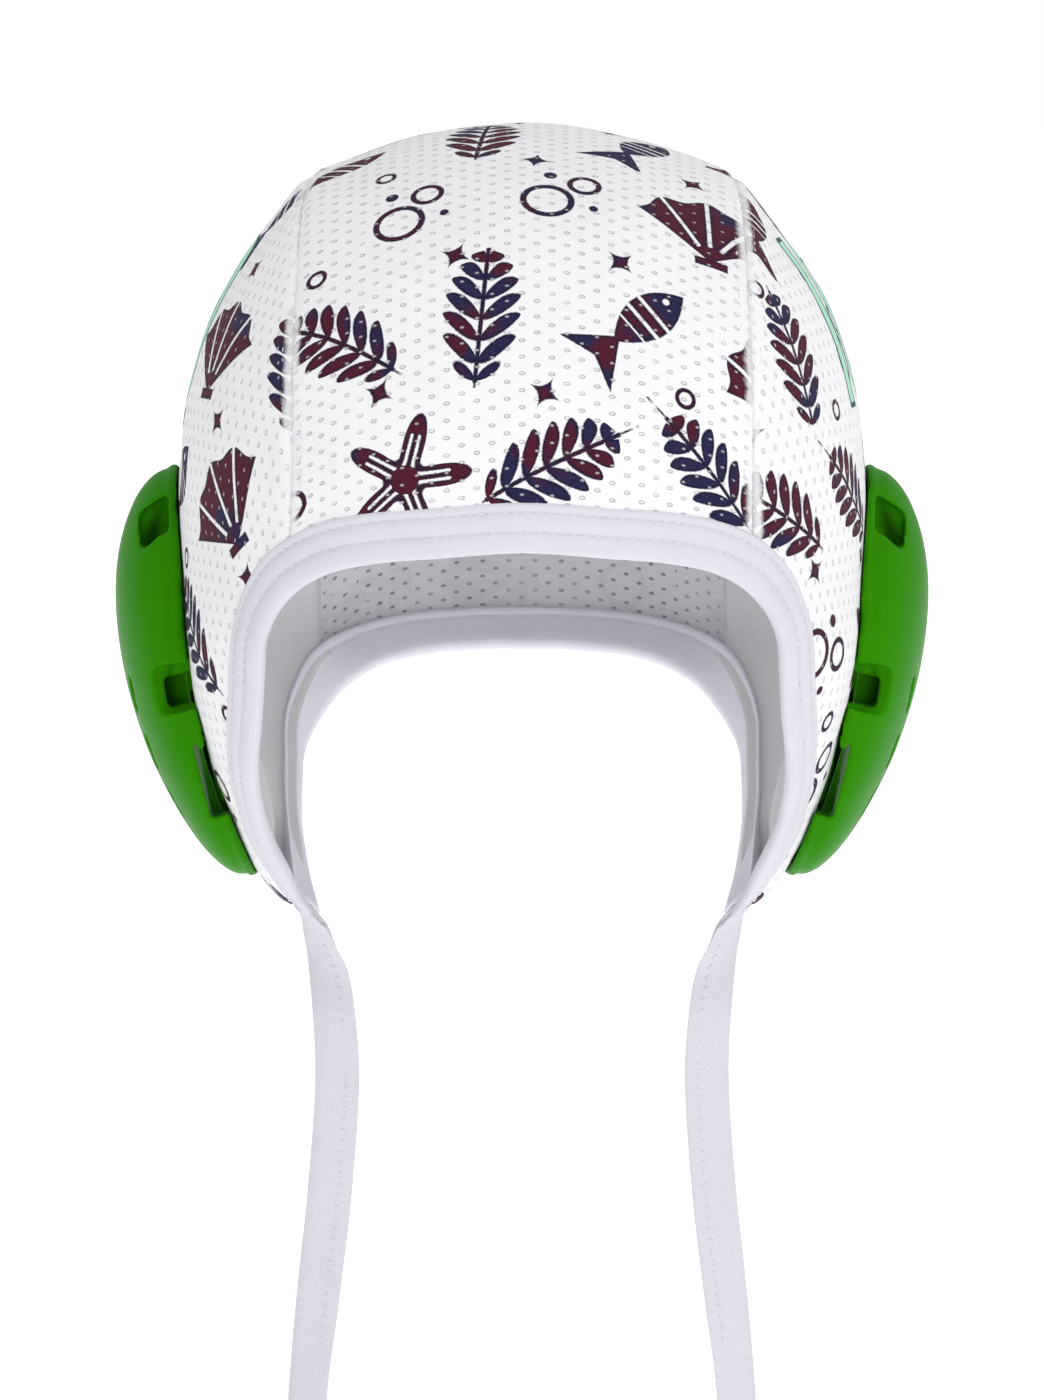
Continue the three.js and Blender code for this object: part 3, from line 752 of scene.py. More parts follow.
def holes(long_way, short_way, settings):
    """How far out of the nearest hole of the knit a point is, where 1 is the hole's edge."""
    pitch_long = settings.hole_pitch_long / MM
    pitch_short = settings.hole_pitch_short / MM
    found = None
    for shift in (0, 0.5):
        a = ((long_way / pitch_long + shift).part() - 0.5) * pitch_long
        b = ((short_way / pitch_short + shift).part() - 0.5) * pitch_short
        out = distance(a / (settings.hole_long / MM / 2), b / (settings.hole_short / MM / 2))
        found = out if found is None else found.least(out)
    return found


def knit_relief(surface, across, up, out):
    """Height in millimetres of the knit's loops with its holes."""
    grain = surface.noise(surface.point(across, up * 2.6), 1.1, 3, 0.6)
    wales = (across * (2 * math.pi / 0.62)).sine() * (up * (2 * math.pi / 0.5)).sine()
    return grain * 0.16 + wales * 0.03 - out.below(0.95, 0.4) * 0.32


def printed_cloth(name, settings, side):
    """Perforated knit with its print, and on the side panels the number; its holes carry painted shade on the
    white and painted light seen through them on the inks and the number.
    """
    surface = Surface(name)
    across, up = surface.lengths()
    out = holes(up, across, settings) if side else holes(across, up, settings)
    chart = surface.point(across, up)
    seam = surface.reading(SEAM_NAME) + (surface.noise(chart, 0.5, 2, 0.6) - 0.5) * 1.6
    band = seam.below(1.7, 0.7)
    edge, tone = print_edge(surface, across, up, settings)
    speck = surface.noise(chart, 2.2, 2, 0.7)
    ragged = edge + (speck - 0.5) * 0.55
    inked = ragged.below(0, 0.16) * (1 - band * 0.8)
    rim = abs(ragged + 0.3).below(0.35, 0.25)
    shade = surface.noise(chart, 0.045, 2, 0.5)
    white = surface.mix(shade, settings.cloth_shade, settings.cloth_colour)
    clear = surface.noise(chart, 0.11, 2, 0.6).below(0.56, 0.16)
    # Painted shade: a grey ring round each hole and a fainter grey in its middle, for the shade in the knit's
    # holes
    ring = abs(out - 0.9).below(0.3, 0.3)
    pale = (0.42 if side else 0.5) * (clear * 0.65 + 0.35) * (1 - band)
    white = surface.mix((ring + out.below(0.3, 0.3) * 0.3) * pale, white, settings.hole_shade_colour)
    cool = surface.noise(chart, 0.06, 1, 0.5) + (tone - 0.5) * 0.22
    fill = surface.mix(cool.below(0.47, 0.05), settings.plum, settings.navy)
    ink = surface.mix(rim * 0.7, fill, settings.ink_edge)
    # The ink pales in the holes, painted light seen through them, and in specks of the print
    dash = out.below(0.7, 0.3) * 0.45 + (speck - 0.62).most(0) * 0.9
    ink = surface.mix(dash, ink, settings.cloth_shade)
    colour = surface.mix(inked, white, ink)
    if side:
        far = number_edge(across, up, settings, side)
        painted = surface.mix(far.below(-1.3, 0.12), settings.number_outline, settings.number_fill)
        # The number pales in the holes, painted light seen through them
        painted = surface.mix(out.below(0.7, 0.3) * 0.25, painted, settings.cloth_shade)
        colour = surface.mix(far.below(0, 0.12), colour, painted)
    surface.bump(knit_relief(surface, across, up, out))
    return surface.finish(colour, 0.85, Sheen_Weight=0.05, Sheen_Roughness=0.4, Specular_IOR_Level=0.12)


def inner_knit(name, settings, upright):
    """The knit's back: no print shows; its colour is set lighter than the front as painted light passing
    through the thin cloth, its holes carry painted shade, and a few holes far from the middle are painted
    white as light seen through them.
    """
    surface = Surface(name)
    across, up = surface.lengths()
    out = holes(up, across, settings) if upright else holes(across, up, settings)
    chart = surface.point(across, up)
    shade = surface.noise(chart, 0.07, 2, 0.5)
    grey = surface.mix(shade, settings.inside_dull_painted_light, settings.inside_colour_painted_light)
    edge, _ = print_edge(surface, across, up, settings)
    grey = surface.mix(edge.below(0, 0.8) * 0.08, grey, settings.navy)
    stretched = surface.noise(chart, 0.045, 2, 0.5).below(0.5, 0.14)
    middle = abs(across).below(6, 4)
    grey = surface.mix(middle * 0.3, grey, settings.cloth_colour)
    # Painted shade in the knit's holes, weaker in a band along the middle
    dark = surface.mix(stretched * 0.5 + 0.5 - middle * 0.45, grey, settings.inside_hole_shade)
    # Painted light: a few holes more than 40 mm from the middle are painted white, for light seen through
    # them
    lit = surface.noise(chart, 0.3, 1, 0.5).above(0.6) * abs(across).below(40, 1).below(0.5, 0.1)
    hole = surface.mix(lit, dark, (1, 1, 1, 1))
    colour = surface.mix(out.below(0.95, 0.35) * 0.8, grey, hole)
    surface.bump(knit_relief(surface, across, up, out))
    return surface.finish(colour, 0.9, Sheen_Weight=0.15, Specular_IOR_Level=0.2)


def plain_knit(name, light, dark):
    """Smooth knit of the linings."""
    surface = Surface(name)
    across, up = surface.lengths()
    shade = surface.noise(surface.point(across, up), 0.05, 3, 0.55)
    fine = surface.noise(surface.point(across * 3, up), 1.4, 2, 0.6)
    surface.bump(fine * 0.12 + (across * (2 * math.pi / 0.55)).sine() * 0.025)
    # Painted shade: the colour darkens slightly where the fine relief is low
    colour = surface.mix(shade * 0.8 + fine * 0.2, dark, light)
    return surface.finish(colour, 0.88, Sheen_Weight=0.2, Specular_IOR_Level=0.2)


def tape_cloth(name, light, dark):
    """Stretch tape with fine ribs across it and a soft sheen; its colour darkens slightly where its fine
    grain's relief is low, painted shade in the hollows.
    """
    surface = Surface(name)
    along, across = surface.lengths()
    ribs = (along * (2 * math.pi / 0.8)).sine()
    warp = (across * (2 * math.pi / 0.55)).sine()
    grain = surface.noise(surface.point(along, across * 2.2), 1.5, 3, 0.6)
    shade = surface.noise(surface.point(along, across), 0.06, 2, 0.5)
    surface.bump(ribs * 0.012 + warp * 0.016 + grain * 0.13)
    colour = surface.mix(shade * 0.75 + grain * 0.25, dark, light)
    return surface.finish(
        colour, 0.76, Sheen_Weight=0.12, Sheen_Roughness=0.4, Specular_IOR_Level=0.2
    )


def thread(name, colour):
    """Twisted sewing thread."""
    surface = Surface(name)
    along, across = surface.lengths()
    twist = ((along + across * 0.7) * (2 * math.pi / 0.3)).sine()
    surface.bump(twist * 0.03)
    return surface.finish(colour, 0.6, Sheen_Weight=0.2)


def moulded_plastic(name, settings):
    """Satin moulded plastic, with slight unevenness and rubbed patches, and painted shade in its recesses."""
    surface = Surface(name)
    place = surface.place()
    broad = surface.noise(place, 28, 2, 0.5)
    fine = surface.noise(place, 1400, 2, 0.6)
    rubbed = surface.noise(place, 210, 4, 0.65)
    # Painted shade: the green darkens with depth under the guard's outer skin, standing in for the shade in
    # the recesses
    deep = 1 - surface.reading(RECESS_NAME).below(3.7, 1.4)
    colour = surface.mix(broad, settings.colour_low, settings.colour_high)
    colour = surface.mix(deep * 0.85, colour, settings.recess_shade_colour)
    surface.bump(fine * 0.012 + surface.noise(place, 160, 1, 0.5) * 0.05)
    roughness = rubbed * 0.16 + settings.roughness
    return surface.finish(colour, roughness, Specular_IOR_Level=0.04, Specular_Tint=(0.5, 1, 0.25, 1))


def floor_finish(name, colour):
    surface = Surface(name)
    shade = surface.noise(surface.place(), 3, 2, 0.5)
    paint = surface.mix(shade * 0.02, colour, (0.9, 0.9, 0.9, 1))
    return surface.finish(
        paint, 0.9, Specular_IOR_Level=0.1, Emission_Color=(1, 1, 1, 1), Emission_Strength=0.6
    )


def length_property(name, description, default):
    return bpy.props.FloatProperty(
        name=name, description=description, default=default, precision=5, unit="LENGTH"
    )


def colour_property(name, description, default):
    return bpy.props.FloatVectorProperty(
        name=name, description=description, default=default, size=4, min=0, max=1, subtype="COLOR"
    )


class CapClothSettings(bpy.types.PropertyGroup):
    """Knit, print and number of the cap's panels"""

    motif_pitch: length_property("Motif pitch", "Distance between the print's motifs", 0.036)
    print_shift: length_property("Print shift", "How far the print is moved over the cloth", 0.007)
    hole_pitch_long: length_property("Hole pitch, long way", "Distance between holes lengthwise", 0.0069)
    hole_pitch_short: length_property("Hole pitch, short way", "Distance between holes across", 0.004)
    hole_long: length_property("Hole length", "Length of one hole of the knit", 0.0013)
    hole_short: length_property("Hole width", "Width of one hole of the knit", 0.0008)
    number_height: length_property("Number height", "Height of the number on each side", 0.045)
    number_middle: length_property("Number middle", "How far the number's middle lies above the ear", 0.0885)
    number_lead: length_property("Number lead", "How far the number reaches before the ear", 0.0345)
    cloth_colour: colour_property("Cloth", "White of the cloth", (0.79, 0.785, 0.80, 1))
    cloth_shade: colour_property("Cloth shade", "Duller white of the cloth", (0.73, 0.725, 0.75, 1))
    # Painted shade that the knit's holes show on the white cloth
    hole_shade_colour: colour_property("Hole", "Grey seen in the knit's holes", (0.2, 0.2, 0.22, 1))
    # Painted light: the knit's back is set lighter than its front, for light that passes through the thin
    # cloth; the hole grey under it is painted shade
    inside_colour_painted_light: colour_property("Inside", "Back of the knit", (0.8, 0.795, 0.83, 1))
    inside_dull_painted_light: colour_property("Inside shade", "Duller back of the knit", (0.73, 0.725, 0.76, 1))
    inside_hole_shade: colour_property("Inside hole", "Hole seen from inside", (0.2, 0.2, 0.215, 1))
    plum: colour_property("Plum", "Main ink of the print", linear(72, 20, 40))
    navy: colour_property("Navy", "Second ink of the print", linear(34, 32, 66))
    ink_edge: colour_property("Ink edge", "Dark edge of the inks", linear(22, 20, 44))
    number_fill: colour_property("Number", "Fill of the number", linear(165, 215, 190))
    number_outline: colour_property("Number outline", "Outline of the number", linear(34, 78, 80))
    lining_colour: colour_property("Lining", "Smooth lining", (0.73, 0.73, 0.745, 1))
    lining_shade: colour_property("Lining shade", "Duller lining", (0.68, 0.68, 0.70, 1))


class CapTapeSettings(bpy.types.PropertyGroup):
    """Bindings, ties and their stitches"""

    stitch_pitch: length_property("Stitch pitch", "Distance from stitch to stitch", 0.0027)
    stitch_length: length_property("Stitch length", "Length of one stitch that shows", 0.0017)
    thread_width: length_property("Thread width", "Width of the sewing thread", 0.00055)
    colour: colour_property("Tape", "Colour of the tape", (0.61, 0.6, 0.655, 1))
    shade: colour_property("Tape shade", "Duller colour of the tape", (0.55, 0.54, 0.595, 1))
    # Painted light: the neck tape is a lighter copy of the same tape, for light that passes through the thin
    # tape inside the cap
    neck_colour_painted_light: colour_property("Neck tape", "Colour of the tape round the neck", (0.8, 0.785, 0.86, 1))
    neck_dull_painted_light: colour_property("Neck tape shade", "Duller colour of that tape", (0.73, 0.715, 0.79, 1))
    thread_colour: colour_property("Thread", "Colour of the sewing thread", (0.62, 0.60, 0.68, 1))


class CapGuardSettings(bpy.types.PropertyGroup):
    """Moulded ear guards"""

    voxel: length_property("Fineness", "Edge of the faces of the moulded surface", 0.00062)
    soften: bpy.props.IntProperty(
        name="Soften", description="How often the moulded edges are rounded", default=3, min=0
    )
    roughness: bpy.props.FloatProperty(
        name="Roughness", description="Roughness of the plastic", default=0.33, subtype="FACTOR"
    )
    colour_high: colour_property("Green", "Colour of the plastic", (0.027, 0.21, 0.001, 1))
    colour_low: colour_property("Deep green", "Darker colour of the plastic", (0.02, 0.178, 0.0007, 1))
    # Painted shade: darker green that stands in for the shade in each recess
    recess_shade_colour: colour_property("Recess green", "Colour in a recess", (0.004, 0.04, 0.0004, 1))


class CapStudioSettings(bpy.types.PropertyGroup):
    """Camera, floor and lights"""

    camera_distance: length_property("Camera distance", "From the camera to what it looks at", 1.5)
    camera_elevation: bpy.props.FloatProperty(
        name="Camera elevation", description="Angle of the camera over the cap", default=math.radians(6),
        subtype="ANGLE",
    )
    target_height: length_property("Target height", "Height of what the camera looks at", -0.1405)
    view_height: length_property("View height", "Height that the view takes in at the cap", 0.3458)
    floor_height: length_property("Floor height", "Height of the floor", -0.335)
    sky: bpy.props.FloatProperty(name="Sky", description="Strength of the even light", default=0.74)
    key: bpy.props.FloatProperty(name="Key light", description="Power of the main lamp", default=17)
    fill: bpy.props.FloatProperty(name="Fill light", description="Power of the second lamp", default=23)


def row_lengths(points):
    """Lengths along the rows of a grid of points, from each row's first point."""
    steps = np.linalg.norm(np.diff(points, axis=1), axis=-1)
    return np.concatenate([np.zeros((len(points), 1)), np.cumsum(steps, axis=1)], axis=1)


def seam_relief(to_seam, along):
    """Groove at a seam, the fold of cloth beside it and the shallow puckers that run away from it."""
    groove = -SEAM_GROOVE_DEPTH * np.exp(-((to_seam / SEAM_GROOVE_REACH) ** 2))
    fold = FOLD_HEIGHT * np.exp(-(((to_seam - FOLD_PLACE) / FOLD_REACH) ** 2))
    pucker = PUCKER_HEIGHT * np.sin(along * 2 * math.pi / PUCKER_PITCH) * np.exp(-to_seam / PUCKER_REACH)
    return groove + fold + pucker


class CAP_OT_center_panel(bpy.types.Operator):
    """Make the printed panel that runs from the brow over the crown to the nape"""

    bl_idname = "cap.center_panel"
    bl_label = "Centre panel"

    def execute(self, context):
        settings = context.scene.cap_cloth
        made, order, shares = flat_grid(CENTER_COLUMNS, CENTER_ROWS)
        spread = 2 * shares[..., 0] - 1
        share = 1.5 * spread - 0.5 * spread**3
        place_brow = crossing(FACE, np.abs(share[0]), 0.5, 0.8)
        place_nape = crossing(NECK, np.abs(share[0]), 0.5, 0.1)
        brow = angle_of(at_place(FACE, "points", place_brow)) - EDGE_TUCK / FRONT_REACH
        nape = angle_of(at_place(NECK, "points", place_nape)) + EDGE_TUCK / BACK_REACH
        angle = brow + (nape - brow) * shares[..., 1]
        points = cloth_point(share, angle, -SEAM_GAP * share)
        middle = CENTER_COLUMNS // 2
        across = row_lengths(points)
        across = across - across[:, middle : middle + 1]
        up = row_lengths(points.transpose(1, 0, 2))[middle][:, None] + 0 * across
        to_seam = (1 - np.abs(share)) * seam_spread(angle)
        points = lifted(points, seam_relief(to_seam, up) + CENTER_SOFTNESS * ripple(across, up, 5))
        lay_grid(made, order, points, np.stack([across, up], axis=-1), to_seam)
        face_outwards(made)
        outer = printed_cloth("printed_knit", settings, 0)
        inner = inner_knit("knit_back", settings, False)
        piece = new_piece("center_cloth", made, [outer, inner], ["center_panel"])
        thicken(piece, CLOTH, 1, 1)
        return {"FINISHED"}


def side_outline():
    """Closed outline of the +X side panel: seam, neck's edge, hem at the flap tip and face's edge."""
    brow_place = crossing(FACE, 1, 0.5, 0.8, SEAM_GAP)
    nape_place = crossing(NECK, 1, 0.5, 0.1, SEAM_GAP)
    brow = angle_of(at_place(FACE, "points", brow_place)) - EDGE_TUCK / FRONT_REACH
    nape = angle_of(at_place(NECK, "points", nape_place)) + EDGE_TUCK / BACK_REACH
    seam_angles = np.linspace(brow, nape, SEAM_STEPS, endpoint=False)
    seam = cloth_point(np.ones(SEAM_STEPS), seam_angles, SEAM_GAP)
    neck_places = np.linspace(nape_place, 0, NECK_STEPS, endpoint=False)
    neck = across_rim(NECK, neck_places, np.full(NECK_STEPS, EDGE_TUCK), np.zeros(NECK_STEPS))
    face_places = np.linspace(1, brow_place, FACE_STEPS, endpoint=False)
    face = across_rim(FACE, face_places, np.full(FACE_STEPS, EDGE_TUCK), np.zeros(FACE_STEPS))
    tip = across_rim(NECK, np.zeros(1), np.full(1, EDGE_TUCK), np.zeros(1))[0]
    t = np.linspace(0, 1, HEM_STEPS, endpoint=False)[:, None]
    hem = tip * (1 - t) + face[0] * t
    return np.vstack([seam, neck, hem, face, seam[:1]])


def side_grid(bands, hole=1.0):
    """Ring grid of the +X side: from the hole under the guard, or a share of it, out to the outline."""
    outline = side_outline()
    made, order, shares = flat_grid(len(outline) - 1, bands)
    grow = shares[..., 1]
    edge_y = outline[:, 1]
    edge_z = outline[:, 2]
    turn = np.arctan2((edge_z - EAR_Z) / HOLE_LENGTH, (edge_y - EAR_Y) / HOLE_BREADTH)
    hole_y = EAR_Y + HOLE_BREADTH * hole * np.cos(turn)
    hole_z = EAR_Z + HOLE_LENGTH * hole * np.sin(turn)
    y = hole_y + (edge_y - hole_y) * grow
    z = hole_z + (edge_z - hole_z) * grow
    points = side_point(y, z)
    way = np.stack([hole_y - EAR_Y, hole_z - EAR_Z], axis=-1)
    reach = np.linalg.norm(way, axis=-1)
    out = row_lengths(points.transpose(1, 0, 2)).T + reach
    lengths = out[..., None] * (way / reach[:, None])
    return made, order, points, lengths


def close_ring(made):
    """Joins a ring grid's last column to its first."""
    bmesh.ops.remove_doubles(made, verts=made.verts, dist=0.00001)


def mirrored(made):
    """Turns a +X piece into its -X twin, with its pattern's first length turned round."""
    bmesh.ops.scale(made, verts=made.verts, vec=(-1, 1, 1))
    layer = made.loops.layers.uv.get(UV_NAME)
    for face in made.faces:
        for loop in face.loops:
            loop[layer].uv.x *= -1


def turned_to_side(made, side):
    """Closes a laid ring grid, faces it outwards and turns it to its side of the cap."""
    close_ring(made)
    face_outwards(made)
    if side < 0:
        mirrored(made)
        face_outwards(made)


class CAP_OT_side_panels(bpy.types.Operator):
    """Make the two printed side panels, each with a hole for its ear guard"""

    bl_idname = "cap.side_panels"
    bl_label = "Side panels"

    def execute(self, context):
        settings = context.scene.cap_cloth
        inner = inner_knit("knit_back_side", settings, True)
        for side, word in ((1, "right"), (-1, "left")):
            outer = printed_cloth(f"printed_knit_{word}", settings, side)
            made, order, points, lengths = side_grid(SIDE_BANDS)
            to_seam = np.abs(points[..., 0] - seam_spread(angle_of(points)))
            to_seam = np.where(points[..., 2] > SEAM_LOWEST, to_seam, 1)
            softness = SIDE_SOFTNESS * ripple(lengths[..., 0], lengths[..., 1], 8 + side)
            points = lifted(points, seam_relief(to_seam, lengths[..., 0]) + softness)
            lay_grid(made, order, points, lengths, to_seam)
            turned_to_side(made, side)
            cloths = [outer, inner]
            piece = new_piece(f"side_cloth_{word}", made, cloths, [f"side_panel_{word}"])
            thicken(piece, CLOTH, 1, 1)
        return {"FINISHED"}


class CAP_OT_linings(bpy.types.Operator):
    """Make the smooth lining behind each side panel"""

    bl_idname = "cap.linings"
    bl_label = "Linings"

    def execute(self, context):
        settings = context.scene.cap_cloth
        finish = plain_knit("lining_knit", settings.lining_colour, settings.lining_shade)
        for side, word in ((1, "right"), (-1, "left")):
            made, order, points, lengths = side_grid(LINING_BANDS, LINING_HOLE)
            softness = LINING_SOFTNESS * ripple(lengths[..., 0], lengths[..., 1], 20 + side)
            across = (points[..., 1] - EAR_Y) / HOLE_BREADTH
            up = (points[..., 2] - EAR_Z) / HOLE_LENGTH
            drape = FLANGE_DRAPE / (1 + np.exp((np.hypot(across, up) - FLANGE_EDGE) / FLANGE_SOFTNESS))
            outer = np.linspace(0, 1, LINING_BANDS + 1)[:, None]
            fade = soft_step(np.clip((outer - DRAPE_FADE) / DRAPE_FADE_SPAN, 0, 1))
            points = lifted(points, softness - LINING_DROP - LINING_REST - drape * (1 - fade))
            lay_grid(made, order, points, lengths)
            turned_to_side(made, side)
            piece = new_piece(f"lining_{word}", made, [finish], [f"side_lining_{word}"])
            thicken(piece, LINING, -1)
        return {"FINISHED"}


# Soft ribs over a binding's outer face, from the cloth to the fold, in millimetres
RIBS = {"start": [0.1, 2.3, 6.7], "end": [2.3, 6.7, 11.6], "crown": [0.62, 0.7, 0.78]}
RIB_STEPS = [0.0, 0.1, 0.26, 0.5, 0.74, 0.9]
GROOVE_HEIGHT = 1.25
FOLD = [(11.55, 1.3), (11.85, 0.75), (11.95, 0.1), (11.85, -0.7), (11.4, -1.5), (10.6, -2.0)]
INSIDE = [
    (8.6, -2.2), (6.2, -2.3), (4, -2.35), (2.9, -2.3), (2.3, -2.1), (2.0, -2.4), (1.4, -2.7), (0.5, -2.7),
    (-0.2, -2.4), (-0.35, -1.7), (0, -0.6),
]


def binding_section():
    """Closed section of a binding: distances across it and heights, in metres."""
    points = []
    for start, end, crown in zip(RIBS["start"], RIBS["end"], RIBS["crown"]):
        for t in RIB_STEPS:
            points.append((start + (end - start) * t, GROOVE_HEIGHT + crown * math.sin(math.pi * t) ** 0.62))
    points += FOLD + INSIDE
    points.append(points[0])
    return np.array(points).T * MM


def end_share(rim, place):
    """1 at a rim's ends, 0 from TAPER inwards, with a soft change between."""
    t = np.clip(np.minimum(place, 1 - place) * rim["length"] / TAPER, 0, 1)
    return 1 - soft_step(t)


def led_behind(rim, place):
    """Shift that leads the neck binding's ends behind the tops of the ties."""
    if rim is FACE:
        return 0
    tip = at_place(NECK, "points", np.zeros(1))[0]
    top = at_place(FACE, "points", np.ones(1))[0] + NECK_LEAD
    way = (top - tip) * np.where(place < 0.5, 1, -1)[..., None] ** np.array([1, 0, 0])
    return way * (end_share(NECK, place) ** 1.5)[..., None]


def binding_mesh(rim, stations, seed):
    across, height = binding_section()
    made, order, shares = flat_grid(len(across) - 1, stations)
    place = shares[..., 1]
    along = place * rim["length"]
    uneven = TAPE_UNEVENNESS * ripple(along * 2.2, across + 0 * place, seed)
    near = end_share(rim, place)
    narrow = 1 - (TAPER_SHARE if rim is FACE else NECK_TAPER_SHARE) * near
    flat = 1 - TAPER_FLATTENING * near
    middle = TAPE_WIDTH / 2
    points = across_rim(rim, place, middle + (across - middle) * narrow, (height + uneven) * flat)
    points = points + led_behind(rim, place)
    steps = np.linalg.norm(np.diff(np.stack([across, height]), axis=1), axis=0)
    round_it = np.concatenate([[0], np.cumsum(steps)]) + 0 * place
    lay_grid(made, order, points, np.stack([along, round_it], axis=-1))
    close_tube(made)
    return made


def close_tube(made):
    """Joins a tube's seam, closes its ends and faces it outwards."""
    bmesh.ops.remove_doubles(made, verts=made.verts, dist=0.000005)
    rims = [edge for edge in made.edges if edge.is_boundary]
    bmesh.ops.holes_fill(made, edges=rims, sides=0)
    bmesh.ops.recalc_face_normals(made, faces=made.faces)


class CAP_OT_bindings(bpy.types.Operator):
    """Make the folded tapes sewn round the face and the neck"""

    bl_idname = "cap.bindings"
    bl_label = "Bindings"

    def execute(self, context):
        tape = context.scene.cap_tape
        face_finish = tape_cloth("binding_cloth", tape.colour, tape.shade)
        # Painted light: the neck binding takes a lighter copy of the tape's material
        neck_finish_painted_light = tape_cloth("neck_cloth_painted_light", tape.neck_colour_painted_light, tape.neck_dull_painted_light)
        for word, rim, stations, finish in (
            ("face", FACE, FACE_STATIONS, face_finish),
            ("neck", NECK, NECK_STATIONS, neck_finish_painted_light),
        ):
            made = binding_mesh(rim, stations, 31)
            new_piece(f"binding_{word}", made, [finish], [f"{word}_binding"])
        return {"FINISHED"}


# Section of a tie, folded at its outer edge: across it and out of it, in millimetres
TIE_SECTION = [
    (-5.5, 0.0), (-5.42, 0.5), (-5.1, 0.85), (-3.4, 0.98), (-1, 1.02), (0.9, 1.0), (1.9, 0.9),
    (2.15, 0.8), (2.4, 0.9), (3.3, 0.95), (3.85, 0.8), (4.0, 0.45), (4.02, -0.15), (4.4, -0.32),
    (5.1, -0.34), (5.42, -0.5), (5.5, -0.7), (5.3, -0.9), (4.8, -0.98), (2.5, -1.0), (0, -1.0),
    (-2.5, -1.0), (-5.0, -0.95), (-5.4, -0.6),
]


def tie_route():
    """Centre points of the +X tie and the ways across it and out of it at each."""
    tip_z = -CROWN_HEIGHT - FLAP_DEPTH * FACE_RIM["drop"][-1]
    table = {key: np.array(values) for key, values in TIE_ROUTE.items()}
    point = at_place(FACE, "points", 1.0)
    along = unit(at_place(FACE, "along", 1.0))
    across = unit(np.cross(along, outward(point)))
    ring = across_rim(FACE, np.ones(2), np.array([0.00075, 0.01175]), np.full(2, 0.00015))
    start = ring.mean(axis=0) + along * 0.0003
    lead = start + along * TIE_LEAD
    middles = np.stack(
        [table["out"] * HALF_WIDTH, table["back"] * BACK_REACH, tip_z - table["fall"] * TIE_LENGTH], axis=-1
    )
    turn = np.radians(table["turn"])
    widths = np.stack([-np.cos(turn), -np.sin(turn), 0 * turn], axis=-1)
    route, _ = smooth_route(np.vstack([start, lead, middles]), TIE_STATIONS + 1)
    spread, _ = smooth_route(np.vstack([across, across, widths]), TIE_STATIONS + 1)
    down = unit(np.gradient(route, axis=0))
    thick = unit(np.cross(down, spread))
    wide = unit(np.cross(thick, down))
    route[0] = route[0] - along * TIE_OVERLAP
    return route, wide, thick


def tie_mesh():
    route, wide, thick = tie_route()
    section = np.array(TIE_SECTION + TIE_SECTION[:1]) * MM
    made, order, shares = flat_grid(len(section) - 1, TIE_STATIONS)
    steps = np.linalg.norm(np.diff(route, axis=0), axis=1)
    along = np.concatenate([[0], np.cumsum(steps)])
    pinch = 1 - TIE_PINCH * np.exp(-((along / TIE_PINCH_LENGTH) ** 2))
    fuller = 1 + TIE_SWELL * np.exp(-((along / TIE_SWELL_LENGTH) ** 2))
    across = section[:, 0][None, :] * pinch[:, None]
    height = section[:, 1][None, :] * fuller[:, None]
    height = height + TIE_UNEVENNESS * ripple(along[:, None] * 1.6, across, 44)
    points = route[:, None] + wide[:, None] * across[..., None] + thick[:, None] * height[..., None]
    round_it = np.concatenate([[0], np.cumsum(np.linalg.norm(np.diff(section, axis=0), axis=1))])
    lengths = np.stack([along[:, None] + 0 * across, round_it[None, :] + 0 * across], axis=-1)
    lay_grid(made, order, points, lengths)
    close_tube(made)
    return made, route


class CAP_OT_ties(bpy.types.Operator):
    """Make the two folded tape ties that hang from the flap tips"""

    bl_idname = "cap.ties"
    bl_label = "Ties"

    def execute(self, context):
        tape = context.scene.cap_tape
        finish = tape_cloth("tie_cloth", tape.colour, tape.shade)
        for side, word in ((1, "right"), (-1, "left")):
            made, route = tie_mesh()
            if side < 0:
                mirrored(made)
                bmesh.ops.reverse_faces(made, faces=made.faces)
            path = route * np.array([side, 1, 1])
            piece = new_piece(f"tie_tape_{word}", made, [finish], [f"tie_{word}"])
        return {"FINISHED"}


def stitch_row(made, points, outs, tape, sink=0.0):
    """Adds a row of stitches along a line of points, each laid on the surface that faces out there."""
    steps = np.linalg.norm(np.diff(points, axis=0), axis=1)
    length = np.concatenate([[0], np.cumsum(steps)])
    count = int(length[-1] / tape.stitch_pitch)
    places = (np.arange(count) + 0.5) * length[-1] / count
    ahead = places + tape.stitch_length / 4
    here = np.stack([np.interp(places, length, points[:, axis]) for axis in range(3)], axis=-1)
    there = np.stack([np.interp(ahead, length, points[:, axis]) for axis in range(3)], axis=-1)
    out = unit(np.stack([np.interp(places, length, outs[:, axis]) for axis in range(3)], axis=-1))
    along = unit(there - here)
    for middle, way, up in zip(here, along, out):
        side = np.cross(up, way)
        turned = Matrix((way, side, np.cross(way, side))).transposed().to_4x4()
        size = (tape.stitch_length / 2, tape.thread_width / 2, tape.thread_width * 0.42)
        place = Matrix.Translation(Vector(middle - up * sink)) @ turned @ Matrix.Diagonal((*size, 1))
        bmesh.ops.create_uvsphere(made, u_segments=6, v_segments=4, radius=1, matrix=place)


def new_stitches(name, made, finish):
    made.loops.layers.uv.new(UV_NAME)
    for face in made.faces:
        face.smooth = True
    bmesh.ops.recalc_face_normals(made, faces=made.faces)
    return new_piece(name, made, [finish])


def rim_row(rim, distance, height, low=0.004, high=0.996):
    """Points and ways out along a rim at a distance across its binding and a height."""
    places = np.linspace(low, high, ROW_SAMPLES)
    aside = np.full(ROW_SAMPLES, distance)
    points = across_rim(rim, places, aside, np.full(ROW_SAMPLES, height))
    raised = across_rim(rim, places, aside, np.full(ROW_SAMPLES, height + MM))
    return points, unit(raised - points)


